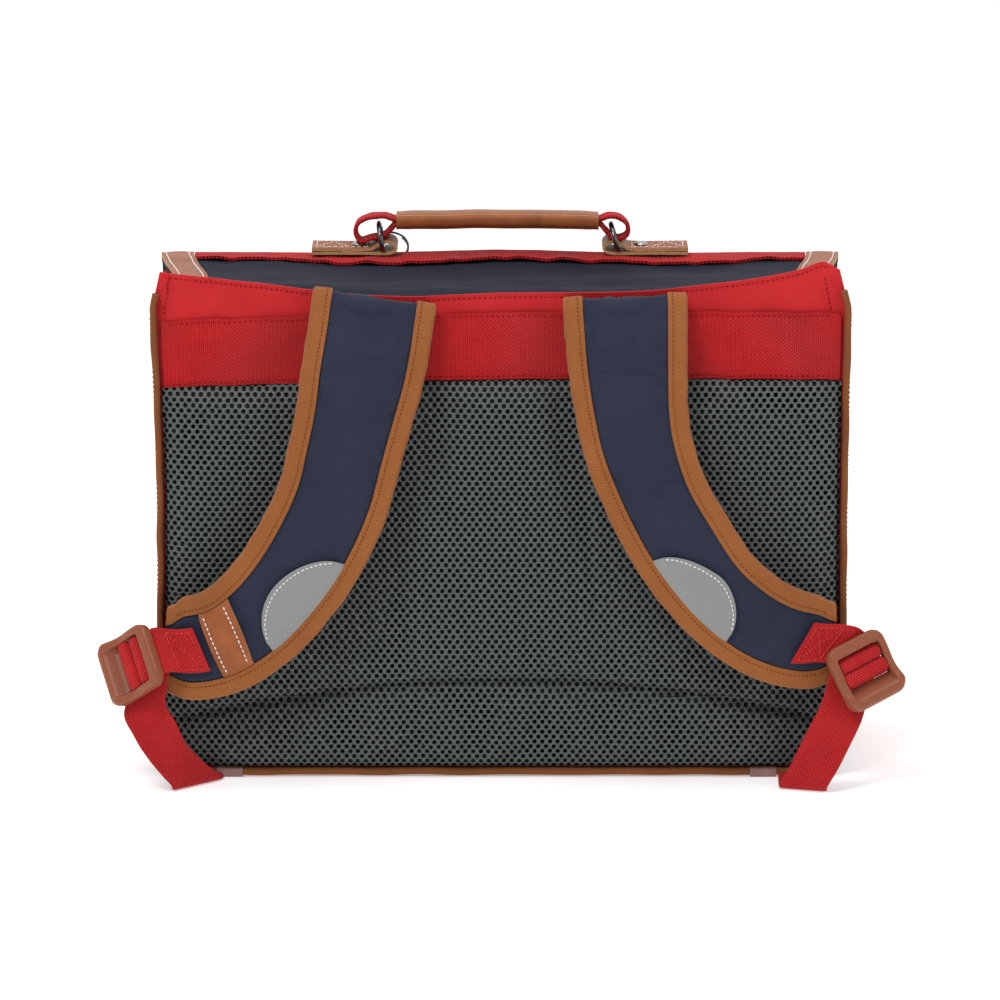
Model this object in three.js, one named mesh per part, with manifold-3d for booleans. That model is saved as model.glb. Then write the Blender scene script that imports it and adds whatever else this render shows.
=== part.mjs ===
// School satchel worn on the back: a wide soft box of cloth with a flap, two padded shoulder straps
// and a top handle, standing on its base.
// Millimetres, +Z up. The side that lies on the wearer's back faces -Y, and +X is to the right when
// looking at that side. The origin is the middle of the base, on the surface that it stands on.
// Left and right in the names are as seen from the back side.

import * as THREE from "three";
import { mergeVertices } from "three/addons/utils/BufferGeometryUtils.js";
import Module from "manifold-3d";

const wasm = await Module();
wasm.setup();

// Body
const bodyWidth = 396;
const bodyDepth = 150;
const backHeight = 291; // top corners of the back panel
const backTopSag = 14; // how far its free top edge sinks between the corners
const cornerRadius = 24; // lower corners of the panels
const cornerTaper = 6; // how far each top corner draws in
const taperHeight = 22; // height over which it draws in
const sidePullLeft = 4; // soft side drawn in at mid height
const sidePullRight = 1.5;
const sideBulge = 4; // gusset swelling outwards between its seams
const clothWall = 2;
const baseWall = 2.4;
const baseWrap = 28; // height that the base panel climbs at each side
const baseSag = 2.2; // the base hangs this much below its seams
const baseLip = 13; // width of the rising strip along each long side of the base
const frontHeight = 262;
const frontBulge = 3;
const touchGap = 0.3; // between pieces that lie on each other
const sewnGap = 0.6; // between cloth edges that meet at a seam

// Back pad and the webbing above it
const padInset = 3.2; // from the panel's edge to the pad's edge
const padEdge = 2.2;
const padLoft = 10.5;
const padRound = 26; // width of the rounded border
const creaseMiddle = 56; // height of the sewn crease in the middle
const creaseEnds = 32;
const creaseDepth = 6;
const creaseBand = 7; // half width of the crease's valley
const lobeGroove = 3.2; // depth of the two upright grooves beside the pad's middle lobe
const lobeSpacing = 37;
const lobeWidth = 11;
const lobeFoot = 165; // height at which the grooves fade out
const bandWidth = 38;
const bandMiddle = 249; // height of the band's centre line in the middle
const bandSlope = 4.5; // its right end is this much higher than its left end
const bandSag = 2.5; // its ends hang this much below its middle
const bandWall = 1.6;
const bandInset = 4.4;

// Edge bindings
const bindingWall = 3.4;
const bindingStand = 8.5;
const frontBindingStand = 5;
const bindingProud = 1.2; // beyond the panel's outline
const bindingTopLeft = 279;
const bindingTopRight = 281;
const frontBindingTop = 252;
const sleeveLength = 15; // clear plastic sleeves on the lower binding
const sleeveWall = 0.7;
const sleeveInLeft = 43; // from the body's side to the middle of each sleeve
const sleeveInRight = 47;

// Flap
const flapTop = 282;
const flapWall = 2;
const flapBackWidth = 366;
const flapFrontWidth = 401;
const flapHang = 205; // from the top down to the free edge in front
const flapCorner = 34;
const flapSag = 5;
const flapRound = 20; // reach of the bend over the front ridge
const flapPocket = 20; // depth of the flap's sewn edge inside the back panel
const flapBandNear = 37; // distance from the body's middle to the near edge of the ridge webbing
const flapBandWave = 2.5;
const trimWidth = 19;
const trimWall = 1.8;
const trimBack = -52;
const trimOver = 10; // how far the trim runs down over the front ridge
const claspWidth = 34;
const claspHeight = 46;
const claspWall = 4;
const claspStand = 1.3; // from the flap's line to the clasp's back
const claspSpacing = 210;
const claspHook = 12;

// Shoulder straps
const strapWidth = 70;
const strapOut = 40; // furthest that a strap's middle stands out from the back panel
const strapHalfThick = 4.8;
const strapEdgeHalf = 2.2; // half thickness under the binding
const strapFoldRadius = 4.4;
const strapInnerLeg = 16;
const strapLift = 0.6; // gap under what is sewn on a strap's face
const tapeWidth = 11;
const tapeWall = 1.1;
const reflectorDepth = 22;
const reflectorWall = 0.7;
const patchWall = 1.4;
const tabWidth = 27;
const tabWall = 1.6;

// Buckles and the lower webbing
const webbingWidth = 25;
const webbingWall = 1.5;
const buckleWidth = 38;
const buckleLength = 39;
const buckleWall = 5.5;
const buckleCorner = 7;
const windowWidth = 28.6;
const windowStart = -12.5; // along the buckle, from its middle
const windowEnd = 9;
const barRadius = 1.9;
const barDrop = 2; // the bars lie this much below the buckle's middle
const tabBarAt = -7.2;
const webbingBarAt = 2.6;
const thumbRise = 4;
const thumbLength = 9;
const bendSteps = 6;

// Handle
const handleDepth = bodyDepth / 2 - 18; // distance of the handle's line from the body's middle
const gripLength = 119;
const gripWidth = 25;
const gripHeight = 10;
const gripRise = 22.5; // height of its middle over the flap's top
const gripShift = -1.5; // the grip's middle lies this far to the right of the body's
const gripSlot = 4.4;
const handleWebbingWidth = 18;
const handleWebbingWall = 1.6;
const ringWire = 2.9;
const ringInside = 23;
const ringHeight = 14;
const ringLeg = 5; // straight part of the height
const ringBeyond = 9.75; // from an end of the grip to the middle of its ring's foot
const ringSpacing = gripLength + 2 * ringBeyond; // between the two rings' feet
const ringLeanLeft = -9; // degrees, positive to the right
const ringLeanRight = -16;
const tabLength = 41.5; // of a leather tab, from its ring's foot
const leatherWall = 1.8;
const handleTabWidth = 22;
const rivetRadius = 4;
const rivetRise = 1.5;
const rivetFromRing = 14;
const splitRadius = 11.5;
const splitWire = 1.3;
const splitTilt = 36; // degrees that the split ring leans over the front ridge
const splitTurns = 1.75;
const splitAside = 3.25; // from the left ring's foot to where the split ring passes through it
const splitNear = 2.85; // and in from the foot's end, to the middle of its wire
const splitRise = 7.1; // and over the foot's middle

const clothRed = { color: 0xc4272e, roughness: 0.8, metalness: 0 };
const webbingRed = { color: 0xb8252b, roughness: 0.85, metalness: 0 };
const clothNavy = { color: 0x33384c, roughness: 0.85, metalness: 0 };
const meshGrey = { color: 0x5f6c69, roughness: 0.9, metalness: 0 };
const tapeTan = { color: 0xb26a38, roughness: 0.8, metalness: 0 };
const leatherTan = { color: 0xa9663d, roughness: 0.6, metalness: 0 };
const clothBlack = { color: 0x1c1c1e, roughness: 0.85, metalness: 0 };
const reflectGrey = { color: 0x9a9c9a, roughness: 0.5, metalness: 0 };
const plasticTan = { color: 0xa5634a, roughness: 0.45, metalness: 0 };
const metalDark = { color: 0x55565c, roughness: 0.3, metalness: 1 };
const metalSteel = { color: 0x9b9da2, roughness: 0.3, metalness: 1 };
const sleeveClear = { color: 0xc8a9a4, roughness: 0.4, metalness: 0 };

const vec = (x, y, z) => new THREE.Vector3(x, y, z);
const clamp = (value) => Math.min(Math.max(value, 0), 1);
const smooth = (value) => THREE.MathUtils.smoothstep(value, 0, 1);
const mix = THREE.MathUtils.lerp;
const even = (count) => Array.from({ length: count + 1 }, (_, i) => i / count);

const satchel = new THREE.Group();

function place(name, geometry, look) {
  const mesh = new THREE.Mesh(geometry, new THREE.MeshStandardMaterial(look));
  mesh.name = name;
  satchel.add(mesh);
  return mesh;
}

// A closed surface through rings that all have the same even number of corners. Each end is closed
// by joining its corners across, so a ring is a convex outline or a curved strip with two long sides.
// With endless set, the last ring joins the first one instead.
function skin(rings, endless = false) {
  const size = rings[0].length;
  const corners = rings.flat();
  const faces = [];
  const apart = (a, b) => corners[a].distanceTo(corners[b]);
  // Each four-sided face is split along its shorter way across, so that twisted walls don't cross.
  const quad = (a, b, c, d) => {
    if (apart(a, c) < apart(b, d) + 1e-6) faces.push(a, b, c, a, c, d);
    else faces.push(a, b, d, b, c, d);
  };
  for (let row = 0; row < rings.length - (endless ? 0 : 1); row++) {
    const here = row * size;
    const after = ((row + 1) % rings.length) * size;
    for (let i = 0; i < size; i++) {
      const next = (i + 1) % size;
      quad(here + i, here + next, after + next, after + i);
    }
  }
  const last = (rings.length - 1) * size;
  for (let i = 0; !endless && i + 1 < size / 2; i++) {
    quad(size - 1 - i, size - 2 - i, i + 1, i);
    quad(last + i, last + i + 1, last + size - 2 - i, last + size - 1 - i);
  }
  let volume = 0;
  for (let i = 0; i < faces.length; i += 3) {
    const [a, b, c] = faces.slice(i, i + 3).map((corner) => corners[corner]);
    volume += a.dot(b.clone().cross(c));
  }
  if (volume < 0) faces.reverse();
  const geometry = new THREE.BufferGeometry().setFromPoints(corners);
  geometry.setIndex(faces);
  return geometry;
}

// The way out of a surface, where u runs across and v along it, each from 0 to 1.
function wayOut(surface, u, v) {
  const step = 1e-3;
  const across = surface(Math.min(u + step, 1), v).sub(surface(Math.max(u - step, 0), v));
  const along = surface(u, Math.min(v + step, 1)).sub(surface(u, Math.max(v - step, 0)));
  return across.cross(along).normalize();
}

// A wall that follows a surface from the distance low to the distance high above it.
function layer(surface, us, vs, low, high) {
  const distance = (value, u, v) => (typeof value === "function" ? value(u, v) : value);
  const rings = vs.map((v) => {
    const spots = us.map((u) => ({ at: surface(u, v), out: wayOut(surface, u, v), u }));
    const row = (value) =>
      spots.map(({ at, out, u }) => at.clone().addScaledVector(out, distance(value, u, v)));
    return [...row(high), ...row(low).reverse()];
  });
  return skin(rings);
}

// A solid swept along stations, each with a place, the way across and the way out of its face.
// section gives a station's corners as [across, out] pairs.
function sweep(stations, section, endless = false) {
  const rings = stations.map((station) =>
    section(station).map(([across, out]) =>
      station.at.clone().addScaledVector(station.across, across).addScaledVector(station.face, out),
    ),
  );
  return skin(rings, endless);
}

// Corners of a flat strip whose faces lie at the distances low and high from its line.
const strip = (width, low, high) => [
  [-width / 2, high],
  [width / 2, high],
  [width / 2, low],
  [-width / 2, low],
];

// Linear reading of a table: rows are sorted by one named column and another column is returned.
function readTable(rows, key, at, column) {
  const after = rows.findIndex((row) => row[key] >= at);
  if (after === 0) return rows[0][column];
  if (after < 0) return rows.at(-1)[column];
  const [a, b] = [rows[after - 1], rows[after]];
  return mix(a[column], b[column], (at - a[key]) / (b[key] - a[key]));
}

// A closed geometry as a solid that can be joined and cut, and back.
function toSolid(geometry) {
  const plain = geometry.clone();
  plain.deleteAttribute("normal");
  plain.deleteAttribute("uv");
  const merged = mergeVertices(plain, 1e-4);
  return new wasm.Manifold(
    new wasm.Mesh({
      numProp: 3,
      vertProperties: new Float32Array(merged.attributes.position.array),
      triVerts: new Uint32Array(merged.index.array),
    }),
  );
}

function fromSolid(solid) {
  const mesh = solid.getMesh();
  const geometry = new THREE.BufferGeometry();
  geometry.setAttribute("position", new THREE.BufferAttribute(mesh.vertProperties, 3));
  geometry.setIndex(new THREE.BufferAttribute(mesh.triVerts, 1));
  return geometry;
}

// Distance from the middle plane to the side seam at a height above the lower seam, for x < 0 or
// x > 0. A smaller outline inside it is asked for with an inset.
function sideAt(x, height, inset = 0) {
  const pull = x < 0 ? sidePullLeft : sidePullRight;
  const drawn = pull * Math.sin(Math.PI * clamp(height / backHeight));
  const tapered = cornerTaper * clamp((height - backHeight + taperHeight) / taperHeight);
  const radius = cornerRadius - inset;
  const above = Math.max(radius - (height - inset), 0);
  const rounded = radius - Math.sqrt(Math.max(radius ** 2 - above ** 2, 0));
  return bodyWidth / 2 - drawn - tapered - rounded - inset;
}

// Height of the back panel's free top edge.
const topEdgeRows = [
  { across: -1, sunk: 0 },
  { across: -0.82, sunk: 0.28 },
  { across: -0.68, sunk: 0.5 },
  { across: -0.53, sunk: 0.77 },
  { across: -0.28, sunk: 1 },
  { across: 0, sunk: 0.86 },
  { across: 0.35, sunk: 0.82 },
  { across: 0.6, sunk: 0.52 },
  { across: 0.76, sunk: 0.24 },
  { across: 0.88, sunk: -0.08 },
  { across: 0.95, sunk: -0.42 },
  { across: 1, sunk: -0.1 },
];
const topEdgeAt = (across) => backHeight - backTopSag * readTable(topEdgeRows, "across", across, "sunk");

// A spot on an upright panel: u from left to right, the height given, at distance y from the middle.
function panelSpot(u, height, inset, y) {
  const across = 2 * u - 1;
  return vec(across * sideAt(across, height, inset), y, baseSag + height);
}

// Heights of a panel's rows as shares: close together where the lower corners turn.
const cornerRows = 4;
const panelRows = (count) => [
  ...even(cornerRows).map((share) => ({ corner: 1 - Math.cos((share * Math.PI) / 2), side: 0 })),
  ...even(count)
    .slice(1)
    .map((side) => ({ corner: 1, side })),
];

function panelHeight(row, inset, top) {
  const cornerTop = inset + (cornerRadius - inset) * row.corner;
  return mix(cornerTop, top, row.side);
}

// Rows are handed to layer as numbers from 0 to 1, so this reads a row between two listed ones.
function rowAt(rows, v) {
  const place = v * (rows.length - 1);
  const low = Math.min(Math.floor(place), rows.length - 2);
  const share = place - low;
  return {
    corner: mix(rows[low].corner, rows[low + 1].corner, share),
    side: mix(rows[low].side, rows[low + 1].side, share),
  };
}

const backRows = panelRows(6);
function backFace(u, v) {
  const row = rowAt(backRows, v);
  const top = topEdgeAt(2 * u - 1) - baseSag;
  return panelSpot(u, panelHeight(row, 0, top), 0, -bodyDepth / 2);
}

const frontRows = panelRows(5);
function frontFace(u, v) {
  const row = rowAt(frontRows, v);
  const height = panelHeight(row, 0, frontHeight - baseSag);
  const swell = frontBulge * Math.sin(Math.PI * u) * Math.sin(Math.PI * clamp(height / frontHeight));
  return panelSpot(1 - u, height, 0, bodyDepth / 2 + swell);
}

function bodyPanels() {
  const rows = (list) => even(list.length - 1);
  place("back_panel", layer(backFace, even(14), rows(backRows), -clothWall, 0), clothRed);
  place("front_panel", layer(frontFace, even(12), rows(frontRows), -clothWall, 0), clothRed);
}

// The flap's line in the middle plane, from its sewn edge inside the back panel, over the top and
// down the front. Depths are shares of half the body's depth, heights of the flap's top.
const insideBack = -bodyDepth / 2 + clothWall + touchGap;
const flapFrontAt = bodyDepth / 2 + frontBindingStand + touchGap + clothWall + sewnGap;
const flapLine = new THREE.CatmullRomCurve3(
  [
    vec(0, insideBack, flapTop - flapPocket - flapRound / 2),
    vec(0, insideBack, flapTop - flapRound),
    vec(0, insideBack + 0.25 * flapRound, flapTop - 0.42 * flapRound),
    vec(0, insideBack + flapRound, flapTop - 0.12 * flapRound),
    vec(0, -0.25 * bodyDepth, flapTop - 1),
    vec(0, 0, flapTop),
    vec(0, 0.25 * bodyDepth, flapTop + 0.5),
    vec(0, flapFrontAt - flapRound, flapTop),
    vec(0, flapFrontAt - 0.42 * flapRound, flapTop - 0.2 * flapRound),
    vec(0, flapFrontAt - 0.12 * flapRound, flapTop - 0.62 * flapRound),
    vec(0, flapFrontAt, flapTop - 1.3 * flapRound),
    vec(0, flapFrontAt + 1, flapTop - 0.35 * flapHang),
    vec(0, flapFrontAt + 1.5, flapTop - 0.7 * flapHang),
    vec(0, flapFrontAt, flapTop - flapHang),
  ],
  false,
  "centripetal",
);
const flapLength = flapLine.getLength();

// Share of the flap's line at which it reaches a distance along Y on its top side.
function flapShareAt(y) {
  let [low, high] = [0, 1];
  for (let i = 0; i < 30; i++) {
    const middle = (low + high) / 2;
    if (flapLine.getPointAt(middle).y < y) low = middle;
    else high = middle;
  }
  return low;
}
const ridgeShare = flapShareAt(flapFrontAt - 0.42 * flapRound);

function flapHalfAt(v) {
  const spot = flapLine.getPointAt(v);
  const widening = smooth((spot.y + bodyDepth / 2) / bodyDepth);
  const half = mix(flapBackWidth, flapFrontWidth, widening) / 2;
  const above = Math.max(flapCorner - (1 - v) * flapLength, 0);
  return half - flapCorner + Math.sqrt(flapCorner ** 2 - above ** 2);
}

function flapSpot(x, v) {
  const spot = flapLine.getPointAt(v);
  const half = flapHalfAt(v);
  const reach = clamp((spot.y - insideBack) / (flapFrontAt - flapRound - insideBack));
  const sunk = flapSag * Math.sin(Math.PI * reach) * (1 - (x / half) ** 2);
  return vec(x, spot.y, spot.z - sunk);
}
const flapFace = (u, v) => flapSpot((2 * u - 1) * flapHalfAt(v), v);

// The flap's rows: close together over the ridge and where its free corners turn.
const flapRows = [
  ...even(8).map((share) => mix(0, ridgeShare - 0.04, share)),
  ...even(5).map((share) => mix(ridgeShare - 0.02, ridgeShare + 0.06, share)),
  ...even(5).map((share) => mix(ridgeShare + 0.12, 1 - flapCorner / flapLength, share)),
  1 - 0.5 * (flapCorner / flapLength),
  1 - 0.18 * (flapCorner / flapLength),
  1 - 0.04 * (flapCorner / flapLength),
  1,
];
const rowsBetween = (start, end) => [start, ...flapRows.filter((v) => v > start && v < end), end];

function flap() {
  place("flap", layer(flapFace, even(10), flapRows, -flapWall, 0), clothNavy);
}

// Webbing sewn along the flap's front ridge, with a loose near edge.
const flapBandStart = flapShareAt(flapBandNear);
const flapBandHalf = (v) => flapHalfAt(v) - trimWidth - sewnGap;
function flapBandFace(u, v) {
  const wave = flapBandWave * Math.sin(9 * u + 1) * Math.sin(Math.PI * u) * (1 - v);
  const share = flapBandStart + (v * bandWidth + wave) / flapLength;
  return flapSpot((2 * u - 1) * flapBandHalf(share), share);
}

function flapWebbing() {
  const end = flapBandStart + bandWidth / flapLength;
  const vs = rowsBetween(flapBandStart, end).map((row) => (row - flapBandStart) / (end - flapBandStart));
  const geometry = layer(flapBandFace, even(14), vs, touchGap, touchGap + bandWall);
  place("flap_webbing", geometry, webbingRed);
}

// Leather along each side edge of the flap's top.
function flapTrims() {
  const start = flapShareAt(trimBack);
  const end = ridgeShare + trimOver / flapLength;
  for (const [name, side] of [
    ["left", -1],
    ["right", 1],
  ]) {
    const face = (u, v) => {
      const inner = side < 0 ? u : 1 - u;
      return flapSpot(side * (flapHalfAt(v) - inner * trimWidth), v);
    };
    const geometry = layer(face, even(2), rowsBetween(start, end), touchGap, touchGap + trimWall);
    place("flap_trim_" + name, geometry, leatherTan);
  }
}

// Height of the gusset's top edge: just under the flap, and up the back panel's corner behind it.
function gussetTop(y) {
  const share = flapShareAt(y);
  const under = flapLine.getPointAt(share).z - (flapWall + sewnGap) / flapLine.getTangentAt(share).y;
  const behind = clamp((trimBack - y) / (trimBack + bodyDepth / 2));
  return mix(under, backHeight - baseSag, smooth(behind));
}

// Side gussets, from the top down to the base panel.
function sideGussets() {
  const inside = bodyDepth / 2 - clothWall - touchGap;
  for (const [name, side] of [
    ["left", -1],
    ["right", 1],
  ]) {
    const face = (u, v) => {
      const y = -side * mix(inside, -inside, u);
      const z = mix(baseWrap + sewnGap, gussetTop(y), v);
      const height = Math.min(z, backHeight) - baseSag;
      const swell = sideBulge * (1 - (y / inside) ** 2) * Math.sin((Math.PI * z) / backHeight);
      return vec(side * (sideAt(side, height) + swell * clamp(height / backHeight + 0.3)), y, z);
    };
    place("side_gusset_" + name, layer(face, even(8), even(9), -clothWall, 0), clothRed);
  }
}

// Spots of the panels' seam line, down the left side, along the bottom and up the right side, each
// with the way out of the bag.
function seamLine(leftTop, rightTop, sideSteps, bottomSteps) {
  const side = (sign, top) =>
    even(sideSteps).map((share) => {
      const height = mix(top - baseSag, cornerRadius, share);
      return vec(sign * sideAt(sign, height), 0, baseSag + height);
    });
  const corner = (sign) =>
    even(5)
      .slice(1)
      .map((share) => {
        const turn = (share * Math.PI) / 2;
        const height = cornerRadius * (1 - Math.sin(turn));
        return vec(sign * sideAt(sign, height), 0, baseSag + height);
      });
  const left = [...side(-1, leftTop), ...corner(-1)];
  const right = [...side(1, rightTop), ...corner(1)].reverse();
  const bottom = even(bottomSteps)
    .slice(1, -1)
    .map((share) => vec(mix(left.at(-1).x, right[0].x, share), 0, baseSag));
  const spots = [...left, ...bottom, ...right];
  return spots.map((at, i) => {
    const run = spots[Math.min(i + 1, spots.length - 1)].clone().sub(spots[Math.max(i - 1, 0)]);
    return { at, across: vec(run.z, 0, -run.x).normalize() };
  });
}

// Bound seam of a panel and the gusset, standing out from the panel's face.
function bindingSection(stand) {
  const [outer, inner] = [bindingProud, bindingProud - bindingWall];
  const shoulder = stand - 1.3;
  return [
    [outer, touchGap],
    [outer, shoulder],
    [outer - 1, stand],
    [inner + 1, stand],
    [inner, shoulder],
    [inner, touchGap],
  ];
}

function bindings() {
  for (const [name, face, stand, leftTop, rightTop] of [
    ["back_binding", -1, bindingStand, bindingTopLeft, bindingTopRight],
    ["front_binding", 1, frontBindingStand, frontBindingTop, frontBindingTop],
  ]) {
    const stations = seamLine(leftTop, rightTop, 7, 6).map(({ at, across }) => ({
      at: at.clone().setY((face * bodyDepth) / 2),
      across,
      face: vec(0, face, 0),
    }));
    place(name, sweep(stations, () => bindingSection(stand)), tapeTan);
  }
}

// Short clear sleeves round the lower binding near its corners.
function sleeves() {
  const [outer, inner] = [bindingProud + touchGap, bindingProud - bindingWall - touchGap];
  const tip = bindingStand + touchGap;
  const section = [
    [outer + sleeveWall, 2],
    [outer + sleeveWall, tip + sleeveWall],
    [inner - sleeveWall, tip + sleeveWall],
    [inner - sleeveWall, 2 + padEdge],
    [inner, 2 + padEdge],
    [inner, tip],
    [outer, tip],
    [outer, 2],
  ];
  for (const [name, x] of [
    ["left", sleeveInLeft - bodyWidth / 2],
    ["right", bodyWidth / 2 - sleeveInRight],
  ]) {
    const stations = even(3).map((share) => ({
      at: vec(x + (share - 0.5) * sleeveLength, -bodyDepth / 2, baseSag),
      across: vec(0, 0, -1),
      face: vec(0, -1, 0),
    }));
    place("binding_sleeve_" + name, sweep(stations, () => section), sleeveClear);
  }
}

// Base panel: flat below, rising to its seams along both long sides, and up the gussets at its ends.
function basePanel() {
  const line = seamLine(baseWrap, baseWrap, 1, 6);
  const inside = bodyDepth / 2 - clothWall - touchGap;
  const face = (u, v) => {
    const place = u * (line.length - 1);
    const low = Math.min(Math.floor(place), line.length - 2);
    const at = line[low].at.clone().lerp(line[low + 1].at, place - low);
    const y = mix(inside, -inside, v);
    const lip = smooth((Math.abs(y) - inside + baseLip) / baseLip);
    const sunk = baseSag * (1 - lip) * clamp(1 - (at.z - baseSag) / cornerRadius);
    return vec(at.x, y, at.z - sunk);
  };
  const lipShare = baseLip / (2 * inside);
  const vs = [0, 0.5 * lipShare, lipShare, 0.5, 1 - lipShare, 1 - 0.5 * lipShare, 1];
  place("base_panel", layer(face, even(line.length - 1), vs, -baseWall, 0), clothBlack);
}

// Centre line of the wide webbing across the back panel, and the pad's top edge just below it.
const bandLineAt = (across) => bandMiddle + (bandSlope / 2) * across - bandSag * across ** 2;
const padTopAt = (across) => bandLineAt(across) - bandWidth / 2 - sewnGap;

// Padded mesh on the back panel, with a sewn crease low down and two shallow upright grooves.
function creaseAt(across) {
  return mix(creaseMiddle, creaseEnds, across ** 2);
}

function padFace(u, v) {
  const across = 2 * u - 1;
  const bottom = padInset + baseSag;
  const crease = creaseAt(across);
  const z = v < 0.4 ? mix(bottom, crease, v / 0.4) : mix(crease, padTopAt(across), (v - 0.4) / 0.6);
  return panelSpot(u, z - baseSag, padInset, -bodyDepth / 2);
}

function padHeight(u, v) {
  const { x, z } = padFace(u, v);
  const across = 2 * u - 1;
  const rise = (distance) => Math.sqrt(1 - (1 - clamp(distance / padRound)) ** 2);
  const top = padTopAt(across);
  const fromSide = (1 - Math.abs(across)) * (bodyWidth / 2);
  const roll = rise(fromSide) * rise(top - z) * rise(z - padInset - baseSag);
  const valley = Math.exp(-(((z - creaseAt(across)) / creaseBand) ** 2));
  const beside = Math.exp(-(((Math.abs(x) - lobeSpacing) / lobeWidth) ** 2));
  const grooved = lobeGroove * beside * smooth((z - lobeFoot) / (top - lobeFoot) / 0.4);
  const height = padEdge + padLoft * roll - (creaseDepth * valley + grooved) * roll;
  return touchGap + Math.max(height, padEdge);
}

function backPad() {
  const across = [0, 0.02, 0.05, 0.1, 0.17, 0.25, 0.33, 0.39, 0.44, 0.5, 0.56, 0.61, 0.67, 0.75, 0.83];
  const us = [...across, 0.9, 0.95, 0.98, 1];
  const vs = [0, 0.06, 0.15, 0.28, 0.36, 0.4, 0.425, 0.47, 0.56, 0.67, 0.78, 0.88, 0.96, 1];
  place("back_pad", layer(padFace, us, vs, touchGap, padHeight), meshGrey);
}

// Wide webbing sewn across the back panel above the pad.
function upperWebbing() {
  const face = (u, v) => {
    const z = bandLineAt(2 * u - 1) + (v - 0.5) * bandWidth;
    return panelSpot(u, z - baseSag, bandInset, -bodyDepth / 2);
  };
  place("upper_webbing", layer(face, even(12), even(2), touchGap, touchGap + bandWall), webbingRed);
}

// Each strap's centre line, from the fold at its top to its lower end. across is a share of half the
// body's width, up of the back's height, out of strapOut, and wide of strapWidth.
const strapRows = {
  left: [
    { across: -0.361, up: 0.934, out: 0.37, wide: 1 },
    { across: -0.376, up: 0.866, out: 0.53, wide: 1 },
    { across: -0.394, up: 0.802, out: 0.66, wide: 0.99 },
    { across: -0.417, up: 0.728, out: 0.78, wide: 0.94 },
    { across: -0.441, up: 0.661, out: 0.87, wide: 0.92 },
    { across: -0.475, up: 0.574, out: 0.94, wide: 0.91 },
    { across: -0.545, up: 0.473, out: 0.98, wide: 0.91 },
    { across: -0.627, up: 0.391, out: 0.96, wide: 0.89 },
    { across: -0.714, up: 0.329, out: 0.92, wide: 0.88 },
    { across: -0.799, up: 0.291, out: 0.86, wide: 0.87 },
    { across: -0.876, up: 0.277, out: 0.8, wide: 0.87 },
    { across: -0.92, up: 0.275, out: 0.76, wide: 0.83 },
    { across: -0.958, up: 0.277, out: 0.73, wide: 0.62 },
  ],
  right: [
    { across: 0.357, up: 0.934, out: 0.37, wide: 1 },
    { across: 0.364, up: 0.82, out: 0.61, wide: 0.96 },
    { across: 0.375, up: 0.74, out: 0.76, wide: 0.91 },
    { across: 0.394, up: 0.673, out: 0.85, wide: 0.88 },
    { across: 0.448, up: 0.574, out: 0.94, wide: 0.84 },
    { across: 0.516, up: 0.491, out: 0.98, wide: 0.85 },
    { across: 0.579, up: 0.427, out: 0.97, wide: 0.83 },
    { across: 0.627, up: 0.388, out: 0.96, wide: 0.82 },
    { across: 0.687, up: 0.351, out: 0.93, wide: 0.82 },
    { across: 0.75, up: 0.321, out: 0.89, wide: 0.82 },
    { across: 0.81, up: 0.302, out: 0.85, wide: 0.81 },
    { across: 0.866, up: 0.292, out: 0.81, wide: 0.8 },
    { across: 0.92, up: 0.29, out: 0.77, wide: 0.76 },
    { across: 0.962, up: 0.291, out: 0.74, wide: 0.58 },
  ],
};

// A station of a strap's outer run at a share from 0 at the fold to 1 at the lower end.
function strapStation(side, share) {
  const rows = strapRows[side];
  const spots = rows.map(({ across, up, out }) =>
    vec((across * bodyWidth) / 2, -bodyDepth / 2 - out * strapOut, up * backHeight),
  );
  const line = new THREE.CatmullRomCurve3(spots, false, "centripetal");
  const place = share * (rows.length - 1);
  const low = Math.min(Math.floor(place), rows.length - 2);
  const run = line.getTangent(share);
  const across = vec(0, -1, 0).cross(run).normalize();
  return {
    at: line.getPoint(share),
    across,
    face: run.clone().cross(across).normalize(),
    half: (strapWidth / 2) * mix(rows[low].wide, rows[low + 1].wide, place - low),
    plump: mix(strapEdgeHalf + touchGap + tapeWall, strapHalfThick, smooth(share / 0.12)),
  };
}

// The whole strap: up from the band, over the fold and down the outer run.
function strapStations(side, steps) {
  const outer = even(steps).map((share) => strapStation(side, share));
  const first = outer[0];
  const axis = first.across;
  const centre = first.at.clone().add(vec(0, strapFoldRadius, 0));
  const turned = (angle) => {
    const arm = vec(0, -strapFoldRadius, 0).applyAxisAngle(axis, angle);
    const face = vec(0, -1, 0).applyAxisAngle(axis, angle);
    return { ...first, at: centre.clone().add(arm), face };
  };
  const fold = even(4)
    .slice(1)
    .map((share) => turned(-share * Math.PI))
    .reverse();
  const down = fold[0].face.clone().cross(axis).normalize();
  const start = { ...fold[0], at: fold[0].at.clone().addScaledVector(down, strapInnerLeg) };
  return [start, ...fold, ...outer];
}

function strapSection({ half, plump }) {
  const edge = half - tapeWall - touchGap;
  const shoulder = half - tapeWidth - touchGap;
  const crown = shoulder - 4;
  const top = [
    [-edge, strapEdgeHalf],
    [-shoulder, strapEdgeHalf + touchGap],
    [-crown, plump],
    [crown, plump],
    [shoulder, strapEdgeHalf + touchGap],
    [edge, strapEdgeHalf],
  ];
  return [...top, ...top.map(([across, out]) => [across, -out]).reverse()];
}

// Tape folded over one edge of a strap: sign -1 for its first edge and 1 for the other.
function tapeSection({ half }, sign) {
  const under = strapEdgeHalf + 2 * touchGap;
  const over = under + tapeWall;
  const outline = [
    [half - tapeWidth, over],
    [half, 0.7 * over],
    [half, -0.7 * over],
    [half - tapeWidth, -over],
    [half - tapeWidth, -under],
    [half - tapeWall, -under],
    [half - tapeWall, under],
    [half - tapeWidth, under],
  ];
  return outline.map(([across, out]) => [sign * across, out]);
}

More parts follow.
